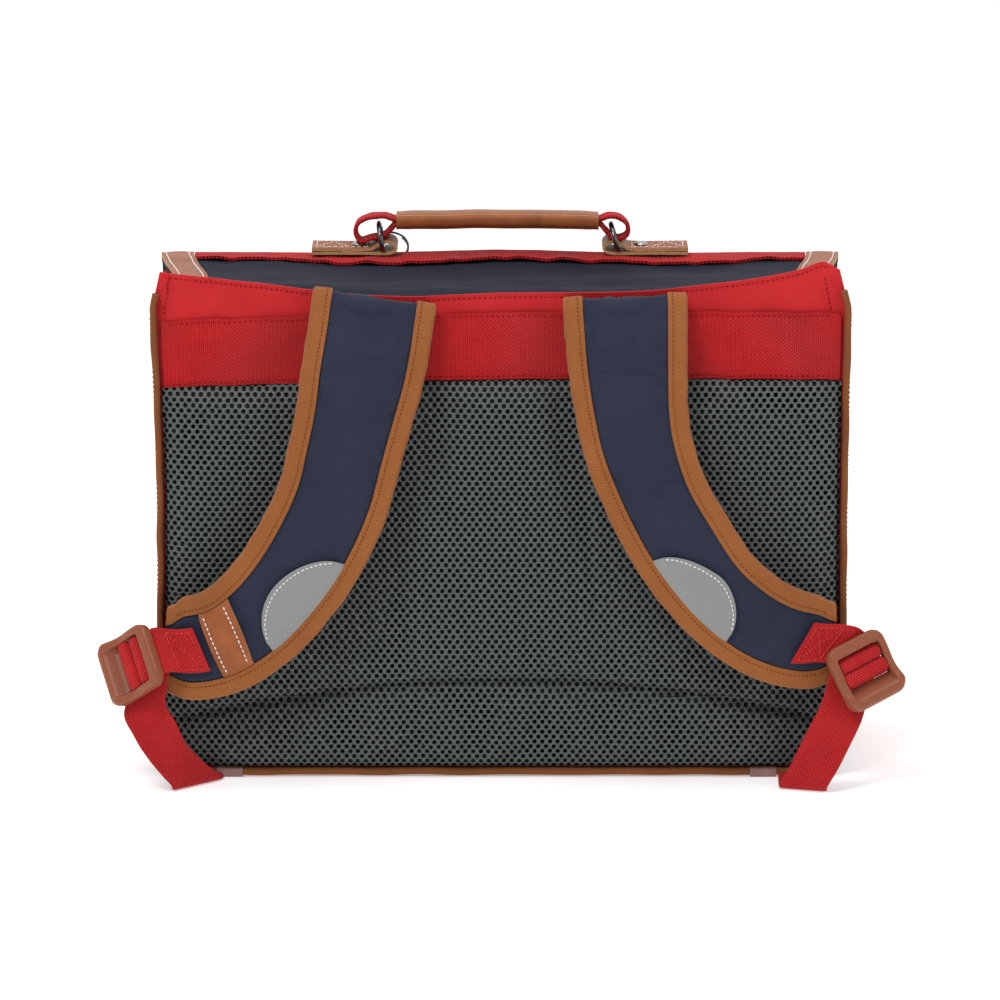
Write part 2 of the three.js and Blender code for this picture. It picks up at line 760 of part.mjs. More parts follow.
const reflectorSpans = { left: { start: 0.49, end: 0.665 }, right: { start: 0.385, end: 0.63 } };
// Where the leather patch starts and ends at the strap's two edges, as shares of the strap's run.
const patchSpans = [
  { edge: -1, start: 0.664, end: 0.785 },
  { edge: 1, start: 0.708, end: 0.768 },
];

function straps() {
  for (const side of ["left", "right"]) {
    const stations = strapStations(side, 17);
    place("shoulder_strap_" + side, sweep(stations, strapSection), clothNavy);
    // The first edge of a strap is the one at the lower X.
    const edges = side === "left" ? ["outer", "inner"] : ["inner", "outer"];
    edges.forEach((edge, i) => {
      const sign = i === 0 ? -1 : 1;
      const geometry = sweep(stations, (station) => tapeSection(station, sign));
      place("strap_binding_" + side + "_" + edge, geometry, tapeTan);
    });
    // Half an ellipse of reflective film along the strap's inner binding.
    const inward = side === "left" ? 1 : -1;
    const { start, end } = reflectorSpans[side];
    const film = even(8).map((share) => ({ ...strapStation(side, mix(start, end, share)), share }));
    const filmSection = ({ half, plump, share }) => {
      const straight = half - tapeWidth - touchGap - 4;
      const depth = Math.max(reflectorDepth * Math.sqrt(1 - (2 * share - 1) ** 2), 1);
      const low = plump + strapLift;
      return [
        [inward * straight, low + reflectorWall],
        [inward * (straight - depth), low + reflectorWall],
        [inward * (straight - depth), low],
        [inward * straight, low],
      ];
    };
    place("reflector_" + side, sweep(film, filmSection), reflectGrey);
  }
  const patchRings = even(4).map((share) => {
    const [first, last] = patchSpans.map(({ edge, start, end }) => {
      const { at, across, face, half, plump } = strapStation("left", mix(start, end, share));
      const reach = edge * (half - tapeWidth - touchGap - 3);
      const under = at.clone().addScaledVector(across, reach).addScaledVector(face, plump + strapLift);
      return { under, over: under.clone().addScaledVector(face, patchWall) };
    });
    return [first.over, last.over, last.under, first.under];
  });
  place("strap_patch", skin(patchRings), leatherTan);
}

// A spot near a lower corner of the back side: beyond the body's side, out from the back panel, and up.
function besideBody(side, { beyond, out, up }) {
  return vec((side === "left" ? -1 : 1) * (bodyWidth / 2 + beyond), -bodyDepth / 2 - out, up);
}

// Buckles: where each sits, the way its bars run and the way it faces.
const buckleSeats = {
  left: { beyond: 11, out: 39, up: 72, bars: vec(0.305, -0.47, -0.83), facing: vec(-0.64, -0.74, 0.18) },
  right: { beyond: 8.5, out: 44, up: 70, bars: vec(0.898, 0, 0.439), facing: vec(0.35, -0.86, 0.3) },
};

// The frame of a buckle: run from the strap's side to the thumb lip, bars along its bars, up out of
// its face.
function buckleFrame(side) {
  const { bars, facing } = buckleSeats[side];
  const at = besideBody(side, buckleSeats[side]);
  const up = facing.clone().normalize();
  const along = bars.clone().addScaledVector(up, -bars.dot(up));
  const run = along.clone().cross(up).normalize();
  const spot = (forward, across, out) =>
    at.clone().addScaledVector(run, forward).addScaledVector(along, across).addScaledVector(up, out);
  return { at, run, bars: along.normalize(), up, spot };
}

function roundedOutline(length, width, radius) {
  const [x, y] = [length / 2, width / 2];
  const shape = new THREE.Shape();
  shape.moveTo(-x + radius, -y);
  shape.lineTo(x - radius, -y);
  shape.absarc(x - radius, -y + radius, radius, -Math.PI / 2, 0);
  shape.lineTo(x, y - radius);
  shape.absarc(x - radius, y - radius, radius, 0, Math.PI / 2);
  shape.lineTo(-x + radius, y);
  shape.absarc(-x + radius, y - radius, radius, Math.PI / 2, Math.PI);
  shape.lineTo(-x, -y + radius);
  shape.absarc(-x + radius, -y + radius, radius, Math.PI, 1.5 * Math.PI);
  return shape;
}

// One buckle in its own frame: a frame with a window, two bars across it and a raised thumb lip.
function buckleGeometry() {
  const outline = roundedOutline(buckleLength, buckleWidth, buckleCorner);
  const frame = new THREE.ExtrudeGeometry(outline, {
    depth: buckleWall,
    bevelEnabled: false,
    curveSegments: 3,
  }).translate(0, 0, -buckleWall / 2);
  const windowSize = windowEnd - windowStart;
  const opening = new THREE.BoxGeometry(windowSize, windowWidth, 4 * buckleWall);
  opening.translate((windowStart + windowEnd) / 2, 0, 0);
  const lip = new THREE.CylinderGeometry(thumbRise, thumbRise, buckleWidth - 2 * buckleCorner, 8);
  lip.scale(thumbLength / (2 * thumbRise), 1, 1);
  lip.translate(buckleLength / 2 - thumbLength / 2, 0, buckleWall / 2);
  const barLength = windowWidth + 2;
  const bar = (at) =>
    new THREE.CylinderGeometry(barRadius, barRadius, barLength, 8).translate(at, 0, -barDrop);
  return fromSolid(
    toSolid(frame)
      .add(toSolid(lip))
      .subtract(toSolid(opening))
      .add(toSolid(bar(tabBarAt)))
      .add(toSolid(bar(webbingBarAt))),
  );
}

function buckles() {
  for (const side of ["left", "right"]) {
    const { at, run, bars, up } = buckleFrame(side);
    const buckle = place("buckle_" + side, buckleGeometry(), plasticTan);
    buckle.applyMatrix4(new THREE.Matrix4().makeBasis(run, bars, up).setPosition(at));
  }
}

// Stations round a buckle bar, from one angle to another: 0 is towards the thumb lip and a quarter
// turn is out of the face. The strip's face looks away from the bar.
function roundBar(frame, barAt, radius, from, to) {
  return even(bendSteps).map((share) => {
    const turn = mix(from, to, share) * Math.PI;
    const arm = frame.run.clone().multiplyScalar(Math.cos(turn)).addScaledVector(frame.up, Math.sin(turn));
    const at = frame.spot(barAt, 0, -barDrop).addScaledVector(arm, radius);
    return { at, across: frame.bars.clone(), face: arm };
  });
}

// Webbing tabs: sewn on the strap's face, under the buckle's rim, round its first bar and back below.
const tabStarts = {
  left: { share: 0.8, across: vec(0.382, 0, -0.924) },
  right: { share: 0.835, across: vec(0.497, 0, 0.868) },
};

// Makes each station's ways square to each other.
function squared(stations) {
  return stations.map(({ at, across, face, ...rest }) => {
    const side = across.clone().normalize();
    const out = face.clone().addScaledVector(side, -face.dot(side)).normalize();
    return { at, across: side, face: out, ...rest };
  });
}

function strapTabs() {
  for (const side of ["left", "right"]) {
    const frame = buckleFrame(side);
    const radius = barRadius + touchGap + tabWall / 2;
    const underRim = -buckleWall / 2 - touchGap - tabWall / 2;
    const { share, across } = tabStarts[side];
    const turned = (amount) => across.clone().lerp(frame.bars, amount);
    const sewn = [0, 0.035, 0.07, 0.105].map((ahead) => {
      const { at, face, plump } = strapStation(side, share + ahead);
      const lifted = at.clone().addScaledVector(face, plump + 2 * strapLift + tabWall / 2);
      return { at: lifted, across: turned(2 * ahead), face };
    });
    const backLayer = -barDrop - radius;
    const stations = [
      ...sewn,
      { at: frame.spot(-buckleLength / 2 - 1, 0, underRim - 1.3), across: turned(0.9), face: frame.up },
      { at: frame.spot(windowStart, 0, underRim - 0.5), across: frame.bars, face: frame.up },
      ...roundBar(frame, tabBarAt, radius, 1, -0.5),
      { at: frame.spot(windowStart, 0, backLayer - 1.4), across: frame.bars, face: frame.up.clone().negate() },
    ];
    const section = () => strip(tabWidth, -tabWall / 2, tabWall / 2);
    place("strap_tab_" + side, sweep(squared(stations), section), webbingRed);
  }
}

// Lower webbing: from under the buckle's second bar, over it and down before the thumb lip, back
// behind the buckle, folded askew, and down to a fold on the ground, from where it runs in to the
// corner of the base. heading is the way it turns along the bars, and turn the angle of its fold.
const lowerRoutes = {
  left: {
    heading: 1,
    turn: 103,
    exit: { beyond: 3, out: 39, up: 46 },
    drop: { beyond: -8, out: 42, up: 25 },
    ground: { beyond: -25, out: 32, up: 1.9 },
    groundAcross: vec(0.68, 0.73, 0),
    groundWide: 1.5,
  },
  right: {
    heading: -1,
    turn: 126,
    exit: { beyond: -5, out: 44, up: 46 },
    drop: { beyond: -13.5, out: 45, up: 28 },
    ground: { beyond: -26, out: 43, up: 1.9 },
    groundAcross: vec(0.954, -0.3, 0),
    groundWide: 1.12,
  },
};
const lowerSeam = { beyond: -26, out: bindingStand + 1.1, up: baseSag };

function lowerStraps() {
  for (const side of ["left", "right"]) {
    const frame = buckleFrame(side);
    const { run, bars, up, spot } = frame;
    const { heading, turn, groundAcross, groundWide, ...route } = lowerRoutes[side];
    const [exit, drop, ground, seam] = [route.exit, route.drop, route.ground, lowerSeam].map((at) =>
      besideBody(side, at),
    );
    const half = webbingWall / 2;
    const radius = barRadius + touchGap + half;
    const barEnd = webbingBarAt + radius;
    const behind = -barDrop - radius - tabWall - 2.2;
    const angle = THREE.MathUtils.degToRad(turn);
    const inPlane = (forward, along) =>
      run.clone().multiplyScalar(forward).addScaledVector(bars, heading * along).normalize();
    const foldLine = inPlane(-Math.cos(angle) - 1, Math.sin(angle)).multiplyScalar(heading);
    const turned = inPlane(-heading * Math.sin(angle), -heading * Math.cos(angle));
    const inward = inPlane(Math.sin(angle / 2), Math.cos(angle / 2));
    const wide = 1 / Math.sin(angle / 2);
    const foldForward = barEnd - 2.5 - webbingWidth / 2 / Math.tan(angle / 2);
    const foldAt = (out, push) => spot(foldForward, 0, out).addScaledVector(inward, -push);
    const below = up.clone().negate();
    const near = vec(0, -1, 0);
    const down = vec(0, 0, -1);
    const stations = [
      ...roundBar(frame, webbingBarAt, radius, 1.35, 0),
      { at: spot(barEnd, 0, behind + 1.8), across: bars, face: run },
      { at: spot(barEnd - 0.5, 0, behind + 0.5), across: bars, face: run.clone().add(below) },
      { at: spot(barEnd - 1.6, 0, behind), across: bars, face: below },
      { at: foldAt(behind, 0), across: foldLine, face: below, wide },
      { at: foldAt(behind - 1.2, 1.2), across: foldLine, face: inward, wide },
      { at: foldAt(behind - 2.4, 0), across: foldLine, face: up, wide },
      { at: exit, across: turned.clone().lerp(groundAcross, 0.4), face: near, wide: 1.03 },
      { at: drop, across: turned.clone().lerp(groundAcross, 0.75), face: near, wide: 1.08 },
      { at: ground.clone().add(vec(0, 0, 6)), across: groundAcross, face: near, wide: groundWide },
      { at: ground.clone().add(vec(0, -0.3, -0.7)), across: groundAcross, face: down, wide: groundWide },
      { at: seam, across: vec(1, 0, 0), face: down },
    ];
    const section = (station) => strip(webbingWidth * (station.wide ?? 1), -half, half);
    place("lower_strap_" + side, sweep(squared(stations), section), webbingRed);
  }
}

// Height of the handle's leather tabs' lower face, on the ridge webbing.
const handleSeat = flapTop + 0.5 + touchGap + bandWall + touchGap;

const gripLine = flapTop + gripRise;

// Grip: a flattened leather sleeve round the handle webbing.
function handleGrip() {
  const along = { depth: gripLength, bevelEnabled: false, curveSegments: 3 };
  const outer = new THREE.ExtrudeGeometry(roundedOutline(gripWidth, gripHeight, 0.45 * gripHeight), along);
  const slotWidth = handleWebbingWidth + 2 * touchGap;
  const slot = new THREE.BoxGeometry(slotWidth, gripSlot, 2 * gripLength + 2);
  const grip = place("handle_grip", fromSolid(toSolid(outer).subtract(toSolid(slot))), leatherTan);
  const upright = new THREE.Matrix4().makeBasis(vec(0, 1, 0), vec(0, 0, 1), vec(1, 0, 0));
  grip.applyMatrix4(upright.setPosition(gripShift - gripLength / 2, handleDepth, gripLine));
}

// The handle webbing's loops. forward is the distance past the grip's end and rise the height over
// its middle line, from the tail inside the grip, through the ring and back over it.
const loopRows = {
  left: [
    { forward: -7, rise: -1 },
    { forward: 0, rise: -1.1 },
    { forward: 3, rise: -4.2 },
    { forward: 8, rise: -8.6 },
    { forward: 15, rise: -9.9 },
    { forward: 21, rise: -11.5 },
    { forward: 24, rise: -7 },
    { forward: 22.5, rise: -1 },
    { forward: 16, rise: 2.4 },
    { forward: 7, rise: 3 },
    { forward: 0, rise: 1.1 },
  ],
  right: [
    { forward: -7, rise: -1 },
    { forward: 0, rise: -1.1 },
    { forward: 3.5, rise: -4.6 },
    { forward: 8, rise: -9 },
    { forward: 13, rise: -9.8 },
    { forward: 17, rise: -7.5 },
    { forward: 17, rise: -2 },
    { forward: 12, rise: 2.4 },
    { forward: 6, rise: 3 },
    { forward: 0, rise: 1.1 },
  ],
};

function handleWebbing() {
  const loop = (side, sign) =>
    loopRows[side].map(({ forward, rise }) =>
      vec(gripShift + sign * (gripLength / 2 + forward), handleDepth, gripLine + rise),
    );
  const spots = [...loop("left", -1), ...loop("right", 1).reverse()];
  const line = new THREE.CatmullRomCurve3(spots, false, "centripetal");
  const stations = even(34).map((share) => {
    const across = vec(0, 1, 0);
    return { at: line.getPoint(share), across, face: line.getTangent(share).cross(across).negate() };
  });
  const half = handleWebbingWall / 2;
  const geometry = sweep(stations, () => strip(handleWebbingWidth, -half, half));
  place("handle_webbing", geometry, webbingRed);
}

// Corners of a round wire's section.
const roundSection = (wire, sides) =>
  even(sides)
    .slice(1)
    .map((share) => [(wire / 2) * Math.cos(2 * Math.PI * share), (wire / 2) * Math.sin(2 * Math.PI * share)]);

// A ring of round wire along a closed line in its own plane.
function wireRing(spots, wire, sides) {
  const stations = spots.map((at, i) => {
    const run = spots[(i + 1) % spots.length].clone().sub(spots.at(i - 1));
    return { at, across: vec(1, 0, 0), face: run.cross(vec(1, 0, 0)).normalize() };
  });
  return sweep(stations, () => roundSection(wire, sides), true);
}

const ringFoot = handleSeat + leatherWall + touchGap + ringWire / 2;

// D-rings: a straight foot in the leather tab and a round bow above it.
function dRings() {
  const halfWidth = (ringInside + ringWire) / 2;
  const rise = ringHeight - ringLeg;
  const bow = even(8).map((share) =>
    vec(0, halfWidth * Math.cos(Math.PI * share), ringLeg + rise * Math.sin(Math.PI * share)),
  );
  const spots = [vec(0, halfWidth, 0), ...bow, vec(0, -halfWidth, 0)];
  for (const [name, sign, lean] of [
    ["left", -1, ringLeanLeft],
    ["right", 1, ringLeanRight],
  ]) {
    const ring = place("d_ring_" + name, wireRing(spots, ringWire, 6), metalDark);
    ring.position.set((sign * ringSpacing) / 2, handleDepth, ringFoot);
    ring.rotation.y = THREE.MathUtils.degToRad(lean);
  }
}

// Leather tabs folded round the rings' feet. back is the distance outwards from the ring and rise
// the height of the leather's middle over the tab's seat, in leather walls.
const tabRows = [
  { back: 1, rise: 0.5 },
  { back: 0.3, rise: 0.5 },
  { back: -0.12, rise: 0.6 },
  { back: -0.193, rise: 1.6 },
  { back: -0.18, rise: 3 },
  { back: -0.1, rise: 4 },
  { back: 0, rise: 3.9 },
  { back: 0.08, rise: 3 },
  { back: 0.14, rise: 2 },
  { back: 0.18, rise: 1.72 },
  { back: 1, rise: 1.72 },
];

function handleTabs() {
  for (const [name, sign] of [
    ["left", -1],
    ["right", 1],
  ]) {
    const foot = (sign * ringSpacing) / 2;
    const spots = tabRows.map(({ back, rise }) =>
      vec(foot + sign * back * tabLength, handleDepth, handleSeat + rise * leatherWall),
    );
    const line = new THREE.CatmullRomCurve3(spots, false, "centripetal");
    const stations = even(2 * (tabRows.length - 1)).map((share) => {
      const across = vec(0, 1, 0);
      return { at: line.getPoint(share), across, face: line.getTangent(share).cross(across) };
    });
    const half = leatherWall / 2;
    const geometry = sweep(stations, () => strip(handleTabWidth, -half, half));
    place("handle_tab_" + name, geometry, leatherTan);
    const dome = [
      [0, 0],
      [rivetRadius, 0],
      [0.9 * rivetRadius, 0.55 * rivetRise],
      [0.5 * rivetRadius, 0.92 * rivetRise],
      [0, rivetRise],
    ].map(([across, out]) => new THREE.Vector2(across, out));
    const rivet = place("rivet_" + name, new THREE.LatheGeometry(dome, 12), metalSteel);
    rivet.rotation.x = Math.PI / 2;
    const top = handleSeat + 2.22 * leatherWall + touchGap;
    rivet.position.set(foot + sign * rivetFromRing, handleDepth, top);
  }
}

// Split ring: nearly two turns of thin wire, hung on the left ring and lying over the front ridge.
function splitRing() {
  const tilt = THREE.MathUtils.degToRad(splitTilt);
  const down = vec(0, Math.sin(tilt), -Math.cos(tilt));
  const out = vec(0, Math.cos(tilt), Math.sin(tilt));
  const top = vec(
    splitAside - ringSpacing / 2,
    handleDepth + (ringInside + ringWire) / 2 - splitNear,
    ringFoot + splitRise,
  );
  const centre = top.addScaledVector(down, splitRadius);
  const pitch = splitWire + 0.2;
  const stations = even(22).map((share) => {
    const turn = 2 * Math.PI * splitTurns * (share - 0.5) - Math.PI / 2;
    const arm = vec(Math.cos(turn), 0, 0).addScaledVector(down, Math.sin(turn));
    const aside = pitch * splitTurns * (share - 0.5);
    const at = centre.clone().addScaledVector(arm, splitRadius).addScaledVector(out, aside);
    return { at, across: out, face: arm };
  });
  const section = () => roundSection(splitWire, 4);
  place("split_ring", sweep(stations, section), metalDark);
}

// Plain clasps over the flap's free edge.
function clasps() {
  const lowEnd = flapTop - flapHang - claspHook;
  const plateIn = flapFrontAt + claspStand;
  const hookIn = bodyDepth / 2 + frontBulge + sewnGap;
  const outline = new THREE.Shape([
    new THREE.Vector2(hookIn, lowEnd),
    new THREE.Vector2(plateIn + 0.6 * claspWall, lowEnd),
    new THREE.Vector2(plateIn + claspWall, lowEnd + 0.5 * claspWall),
    new THREE.Vector2(plateIn + claspWall, lowEnd + claspHeight - 0.5 * claspWall),
    new THREE.Vector2(plateIn + 0.6 * claspWall, lowEnd + claspHeight),
    new THREE.Vector2(plateIn, lowEnd + claspHeight),
    new THREE.Vector2(plateIn, lowEnd + claspHook - 3),
    new THREE.Vector2(hookIn, lowEnd + claspHook - 3),
  ]);
  for (const [name, sign] of [
    ["left", -1],
    ["right", 1],
  ]) {
    const geometry = new THREE.ExtrudeGeometry(outline, { depth: claspWidth, bevelEnabled: false });
    const clasp = place("front_clasp_" + name, geometry, leatherTan);
    const upright = new THREE.Matrix4().makeBasis(vec(0, 1, 0), vec(0, 0, 1), vec(1, 0, 0));
    clasp.applyMatrix4(upright.setPosition((sign * claspSpacing - claspWidth) / 2, 0, 0));
  }
}

bodyPanels();
flap();
flapWebbing();
flapTrims();
sideGussets();
bindings();
sleeves();
basePanel();
backPad();
upperWebbing();
straps();
buckles();
strapTabs();
lowerStraps();
handleGrip();
handleWebbing();
dRings();
handleTabs();
splitRing();
clasps();

export default satchel;
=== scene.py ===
import math

import bmesh
import bpy
import numpy as np
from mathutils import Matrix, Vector


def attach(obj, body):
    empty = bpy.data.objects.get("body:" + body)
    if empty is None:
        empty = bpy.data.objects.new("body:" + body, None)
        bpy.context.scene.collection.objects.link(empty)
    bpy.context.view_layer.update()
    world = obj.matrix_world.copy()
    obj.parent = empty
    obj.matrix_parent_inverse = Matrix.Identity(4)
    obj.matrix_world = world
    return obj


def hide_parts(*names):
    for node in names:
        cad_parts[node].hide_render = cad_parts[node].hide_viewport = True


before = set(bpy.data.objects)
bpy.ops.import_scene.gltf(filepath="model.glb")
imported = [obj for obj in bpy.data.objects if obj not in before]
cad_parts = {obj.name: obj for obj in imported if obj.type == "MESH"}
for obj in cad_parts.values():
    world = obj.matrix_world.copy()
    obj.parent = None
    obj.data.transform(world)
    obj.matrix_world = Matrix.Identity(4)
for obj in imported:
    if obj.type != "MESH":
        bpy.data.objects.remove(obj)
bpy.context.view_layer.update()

# School satchel seen from the side that lies on the wearer's back.
# Lengths are in millimetres until a mesh is made. +Z is up and the back side faces -Y.
MM = 0.001
SIDES = (("left", -1), ("right", 1))
AWAY = np.array([0, -1.0, 0])  # out of the back side

# Body
BODY_WIDTH = 396
BODY_DEPTH = 150
BACK_HEIGHT = 291
BACK_TOP_SAG = 14
CORNER_RADIUS = 24
CORNER_TAPER = 6
TAPER_HEIGHT = 22
SIDE_PULL_LEFT = 4
SIDE_PULL_RIGHT = 1.5
SIDE_BULGE = 4
CLOTH_WALL = 2
BASE_WALL = 2.4
BASE_WRAP = 28
BASE_SAG = 2.2
BASE_LIP = 13
FRONT_HEIGHT = 262
FRONT_BULGE = 3
TOUCH_GAP = 0.3
SEWN_GAP = 0.6
HEM = 2.5
BACK_Y = -BODY_DEPTH / 2
INSIDE = BODY_DEPTH / 2 - CLOTH_WALL - TOUCH_GAP

# Back pad and the webbing above it
PAD_INSET = 3.2
PAD_LOW = PAD_INSET + BASE_SAG
PAD_EDGE = 2.2
PAD_LOFT = 10.5
PAD_ROUND = 26
CREASE_MIDDLE = 56
CREASE_ENDS = 32
CREASE_DEPTH = 7.5
CREASE_BAND = 4.6
CREASE_SEWN = 3.2
LOBE_GROOVE = 3.2
LOBE_SPACING = 37
LOBE_WIDTH = 11
LOBE_FOOT = 165
NET_PITCH = 4.4
NET_ROW = 2.95
NET_DEPTH = 1.9
HOLE_REACH = 1.22
HOLE_POINT = 1.5
HOLE_SHOULDER = 0.85
BAND_WIDTH = 38
BAND_MIDDLE = 249
BAND_SLOPE = 4.5
BAND_SAG = 2.5
BAND_WALL = 1.6
BAND_INSET = 4.4

# Edge bindings and the clear sleeves on the lower one
BINDING_WALL = 3.4
BINDING_STAND = 8.5
FRONT_BINDING_STAND = 5
BINDING_PROUD = 1.2
BINDING_TOP_LEFT = 279
BINDING_TOP_RIGHT = 281
FRONT_BINDING_TOP = 252
SLEEVE_SPOTS = {"left": -155, "right": 151}
SLEEVE_LENGTH = 15

# Flap
FLAP_TOP = 282
FLAP_WALL = 2
FLAP_BACK_WIDTH = 366
FLAP_FRONT_WIDTH = 401
FLAP_HANG = 205
FLAP_CORNER = 34
FLAP_SAG = 5
FLAP_ROUND = 20
FLAP_POCKET = 20
FLAP_BAND_NEAR = 37
TRIM_WIDTH = 19
TRIM_WALL = 1.8
TRIM_BACK = -52
TRIM_OVER = 10
CLASP_SPACING = 210
CLASP_HEIGHT = 46

# Shoulder straps
STRAP_WIDTH = 70
STRAP_OUT = 40
STRAP_HALF_THICK = 4.8
STRAP_EDGE_HALF = 2.2
STRAP_FOLD = 4.4
STRAP_INNER_LEG = 16
STRAP_ROUNDNESS = 2.6
TAPE_WIDTH = 11
TAPE_WALL = 1.1
REFLECTOR_DEPTH = 26
REFLECTOR_SPANS = {"left": (0.49, 0.665), "right": (0.385, 0.63)}
PATCH_WALL = 1.4
TAB_WIDTH = 27
TAB_WALL = 1.6

# Buckles and lower webbing
WEBBING_WIDTH = 25
WEBBING_WALL = 1.5
LOOP_WIDTH = 28
BUCKLE_WIDTH = 38
BUCKLE_LENGTH = 39
BAR_RADIUS = 1.9
BAR_DROP = 2
TAB_BAR_AT = -7.2
WEBBING_BAR_AT = 2.6

# Handle
HANDLE_DEPTH = 57
GRIP_LENGTH = 119
GRIP_WIDTH = 25
GRIP_HEIGHT = 10
GRIP_WALL = 1.6
GRIP_LINE = 304.5
GRIP_SHIFT = -1.5
HANDLE_WEBBING = 18
RING_WIRE = 2.9
RING_INSIDE = 23
RING_HEIGHT = 14
RING_LEG = 5
RING_SPACING = 138.5
RING_LEAN = {"left": -9, "right": -16}
SPLIT_RING_RADIUS = 11.5
SPLIT_RING_TURNS = 1.75
TAB_LENGTH = 41.5
LEATHER_WALL = 1.8
HANDLE_TAB_WIDTH = 22
TAB_TILT = 0.075  # rise over depth of the leather tabs, whose near edge stays down
RIVET_RADIUS = 4
RIVET_HEIGHT = 1.7
RIVET_FROM_RING = 14

# Sewing thread
THREAD = 0.42
THREAD_SINK = 0.25
THREAD_RINGS = 7
THREAD_SIDES = 6

# Cloth simulation
SWELL_FRAMES = 20


# Numbers and lines

def mix(a, b, share):
    return a + (b - a) * share


def smooth(share):
    share = np.clip(share, 0, 1)
    return share * share * (3 - 2 * share)


def hump(distance, width):
    return np.exp(-((distance / width) ** 2))


def dome(share):
    """Quarter circle from 0 at 0 to 1 at 1."""
    return np.sqrt(1 - (1 - np.clip(share, 0, 1)) ** 2)


def unit(v):
    return v / np.maximum(np.linalg.norm(v, axis=-1, keepdims=True), 1e-9)


def stack(*columns):
    return np.stack(np.broadcast_arrays(*columns), axis=-1).astype(float)


def ripple(spots, size, seed):
    """Smooth noise, about -1 to 1, whose waves are about size long."""
    rng = np.random.default_rng(seed)
    total = 0
    for _ in range(7):
        way = unit(rng.normal(size=spots.shape[-1]))
        rate = 2 * math.pi / (size * rng.uniform(0.6, 1.5))
        total = total + np.sin(spots @ way * rate + rng.uniform(0, 6.28))
    return total / 4


def spline(points, shares):
    """Centripetal Catmull-Rom line through points, at shares from 0 to 1."""
    points = np.asarray(points, float)
    ends = np.vstack([2 * points[0] - points[1], points, 2 * points[-1] - points[-2]])
    spans = len(points) - 1
    place = np.clip(np.asarray(shares) * spans, 0, spans - 1e-9)
    i = place.astype(int)
    w = (place - i)[:, None]
    p = [ends[i + k] for k in range(4)]
    d = [np.maximum(np.linalg.norm(b - a, axis=1, keepdims=True) ** 0.5, 1e-4) for a, b in zip(p, p[1:])]
    out = ((p[1] - p[0]) / d[0] - (p[2] - p[0]) / (d[0] + d[1]) + (p[2] - p[1]) / d[1]) * d[1]
    back = ((p[2] - p[1]) / d[1] - (p[3] - p[1]) / (d[1] + d[2]) + (p[3] - p[2]) / d[2]) * d[1]
    cubic = 2 * p[1] - 2 * p[2] + out + back
    square = -3 * p[1] + 3 * p[2] - 2 * out - back
    return cubic * w**3 + square * w**2 + out * w + p[1]


def eased(x, places, values):
    """Values read at x, level at each of their places."""
    spot = np.clip(np.interp(x, places, np.arange(len(places))), 0, len(places) - 1.001)
    left = spot.astype(int)
    values = np.asarray(values)
    return mix(values[left], values[left + 1], smooth(spot - left))


def lengths(points):
    """Distance along a line at each of its points."""
    return np.concatenate([[0], np.cumsum(np.linalg.norm(np.diff(points, axis=0), axis=1))])


def read(at, run, line):
    """A line's columns read at distances along it."""
    return np.stack([np.interp(at, run, column) for column in np.asarray(line).T], axis=-1)


def resample(step, *lines):
    """The first line's points at even steps, and the others read at the same places."""
    run = lengths(lines[0])
    at = np.linspace(0, run[-1], max(int(round(run[-1] / step)), 1) + 1)
    return [read(at, run, line) for line in lines]


def ways_up(grid):
    """Unit normals of a grid of points, most of which look up."""
    out = unit(np.cross(np.gradient(grid, axis=1), np.gradient(grid, axis=0)))
    return out * np.sign(out[..., 2].sum())


# Meshes


def make(name, verts, faces, look, uv=None, second=None, second_faces=None, node=None, sharp=40, turn=True):
    """One piece of the satchel. node is the CAD node that it stands for."""
    mesh = bpy.data.meshes.new(name)
    mesh.from_pydata((np.asarray(verts) * MM).tolist(), [], faces)
    if uv is not None:
        layer = mesh.uv_layers.new(name="cloth")
        index = np.empty(len(mesh.loops), int)
        mesh.loops.foreach_get("vertex_index", index)
        layer.data.foreach_set("uv", np.asarray(uv, np.float32)[index].ravel())
    mesh.materials.append(look)
    if second:
        mesh.materials.append(second)
        mesh.polygons.foreach_set("material_index", np.asarray(second_faces, np.int32))
    if turn:
        work = bmesh.new()
        work.from_mesh(mesh)
        bmesh.ops.recalc_face_normals(work, faces=work.faces)
        work.to_mesh(mesh)
        work.free()
    mesh.polygons.foreach_set("use_smooth", np.ones(len(mesh.polygons), bool))
    if sharp:
        mesh.set_sharp_from_angle(angle=math.radians(sharp))
    obj = bpy.data.objects.new(name, mesh)
    bpy.context.scene.collection.objects.link(obj)
    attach(obj, "root")
    if node:
        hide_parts(node)
    return obj


def grid_faces(rows, columns, start=0, around=False):
    faces = []
    for r in range(rows - 1):
        for c in range(columns - (0 if around else 1)):
            n = (c + 1) % columns
            a = start + r * columns
            faces.append((a + c, a + n, a + columns + n, a + columns + c))
    return faces


def wall(name, top, bottom, look, uv, edge_look=None, **more):
    """A closed sheet between two grids of points."""
    rows, columns = top.shape[:2]
    verts = np.concatenate([top.reshape(-1, 3), bottom.reshape(-1, 3)])
    under = rows * columns
    faces = grid_faces(rows, columns) + [f[::-1] for f in grid_faces(rows, columns, under)]
    sheet_faces = len(faces)
    numbers = np.arange(under).reshape(rows, columns)
    border = [*numbers[0], *numbers[1:, -1], *numbers[-1, -2::-1], *numbers[-2:0:-1, 0]]
    border = [int(number) for number in border]
    for a, b in zip(border, border[1:] + border[:1]):
        faces.append((a, b, b + under, a + under))
    uv = np.concatenate([uv.reshape(-1, 2)] * 2)
    if edge_look:
        more["second"] = edge_look
        more["second_faces"] = [0] * sheet_faces + [1] * (len(faces) - sheet_faces)
    return make(name, verts, faces, look, uv, **more)


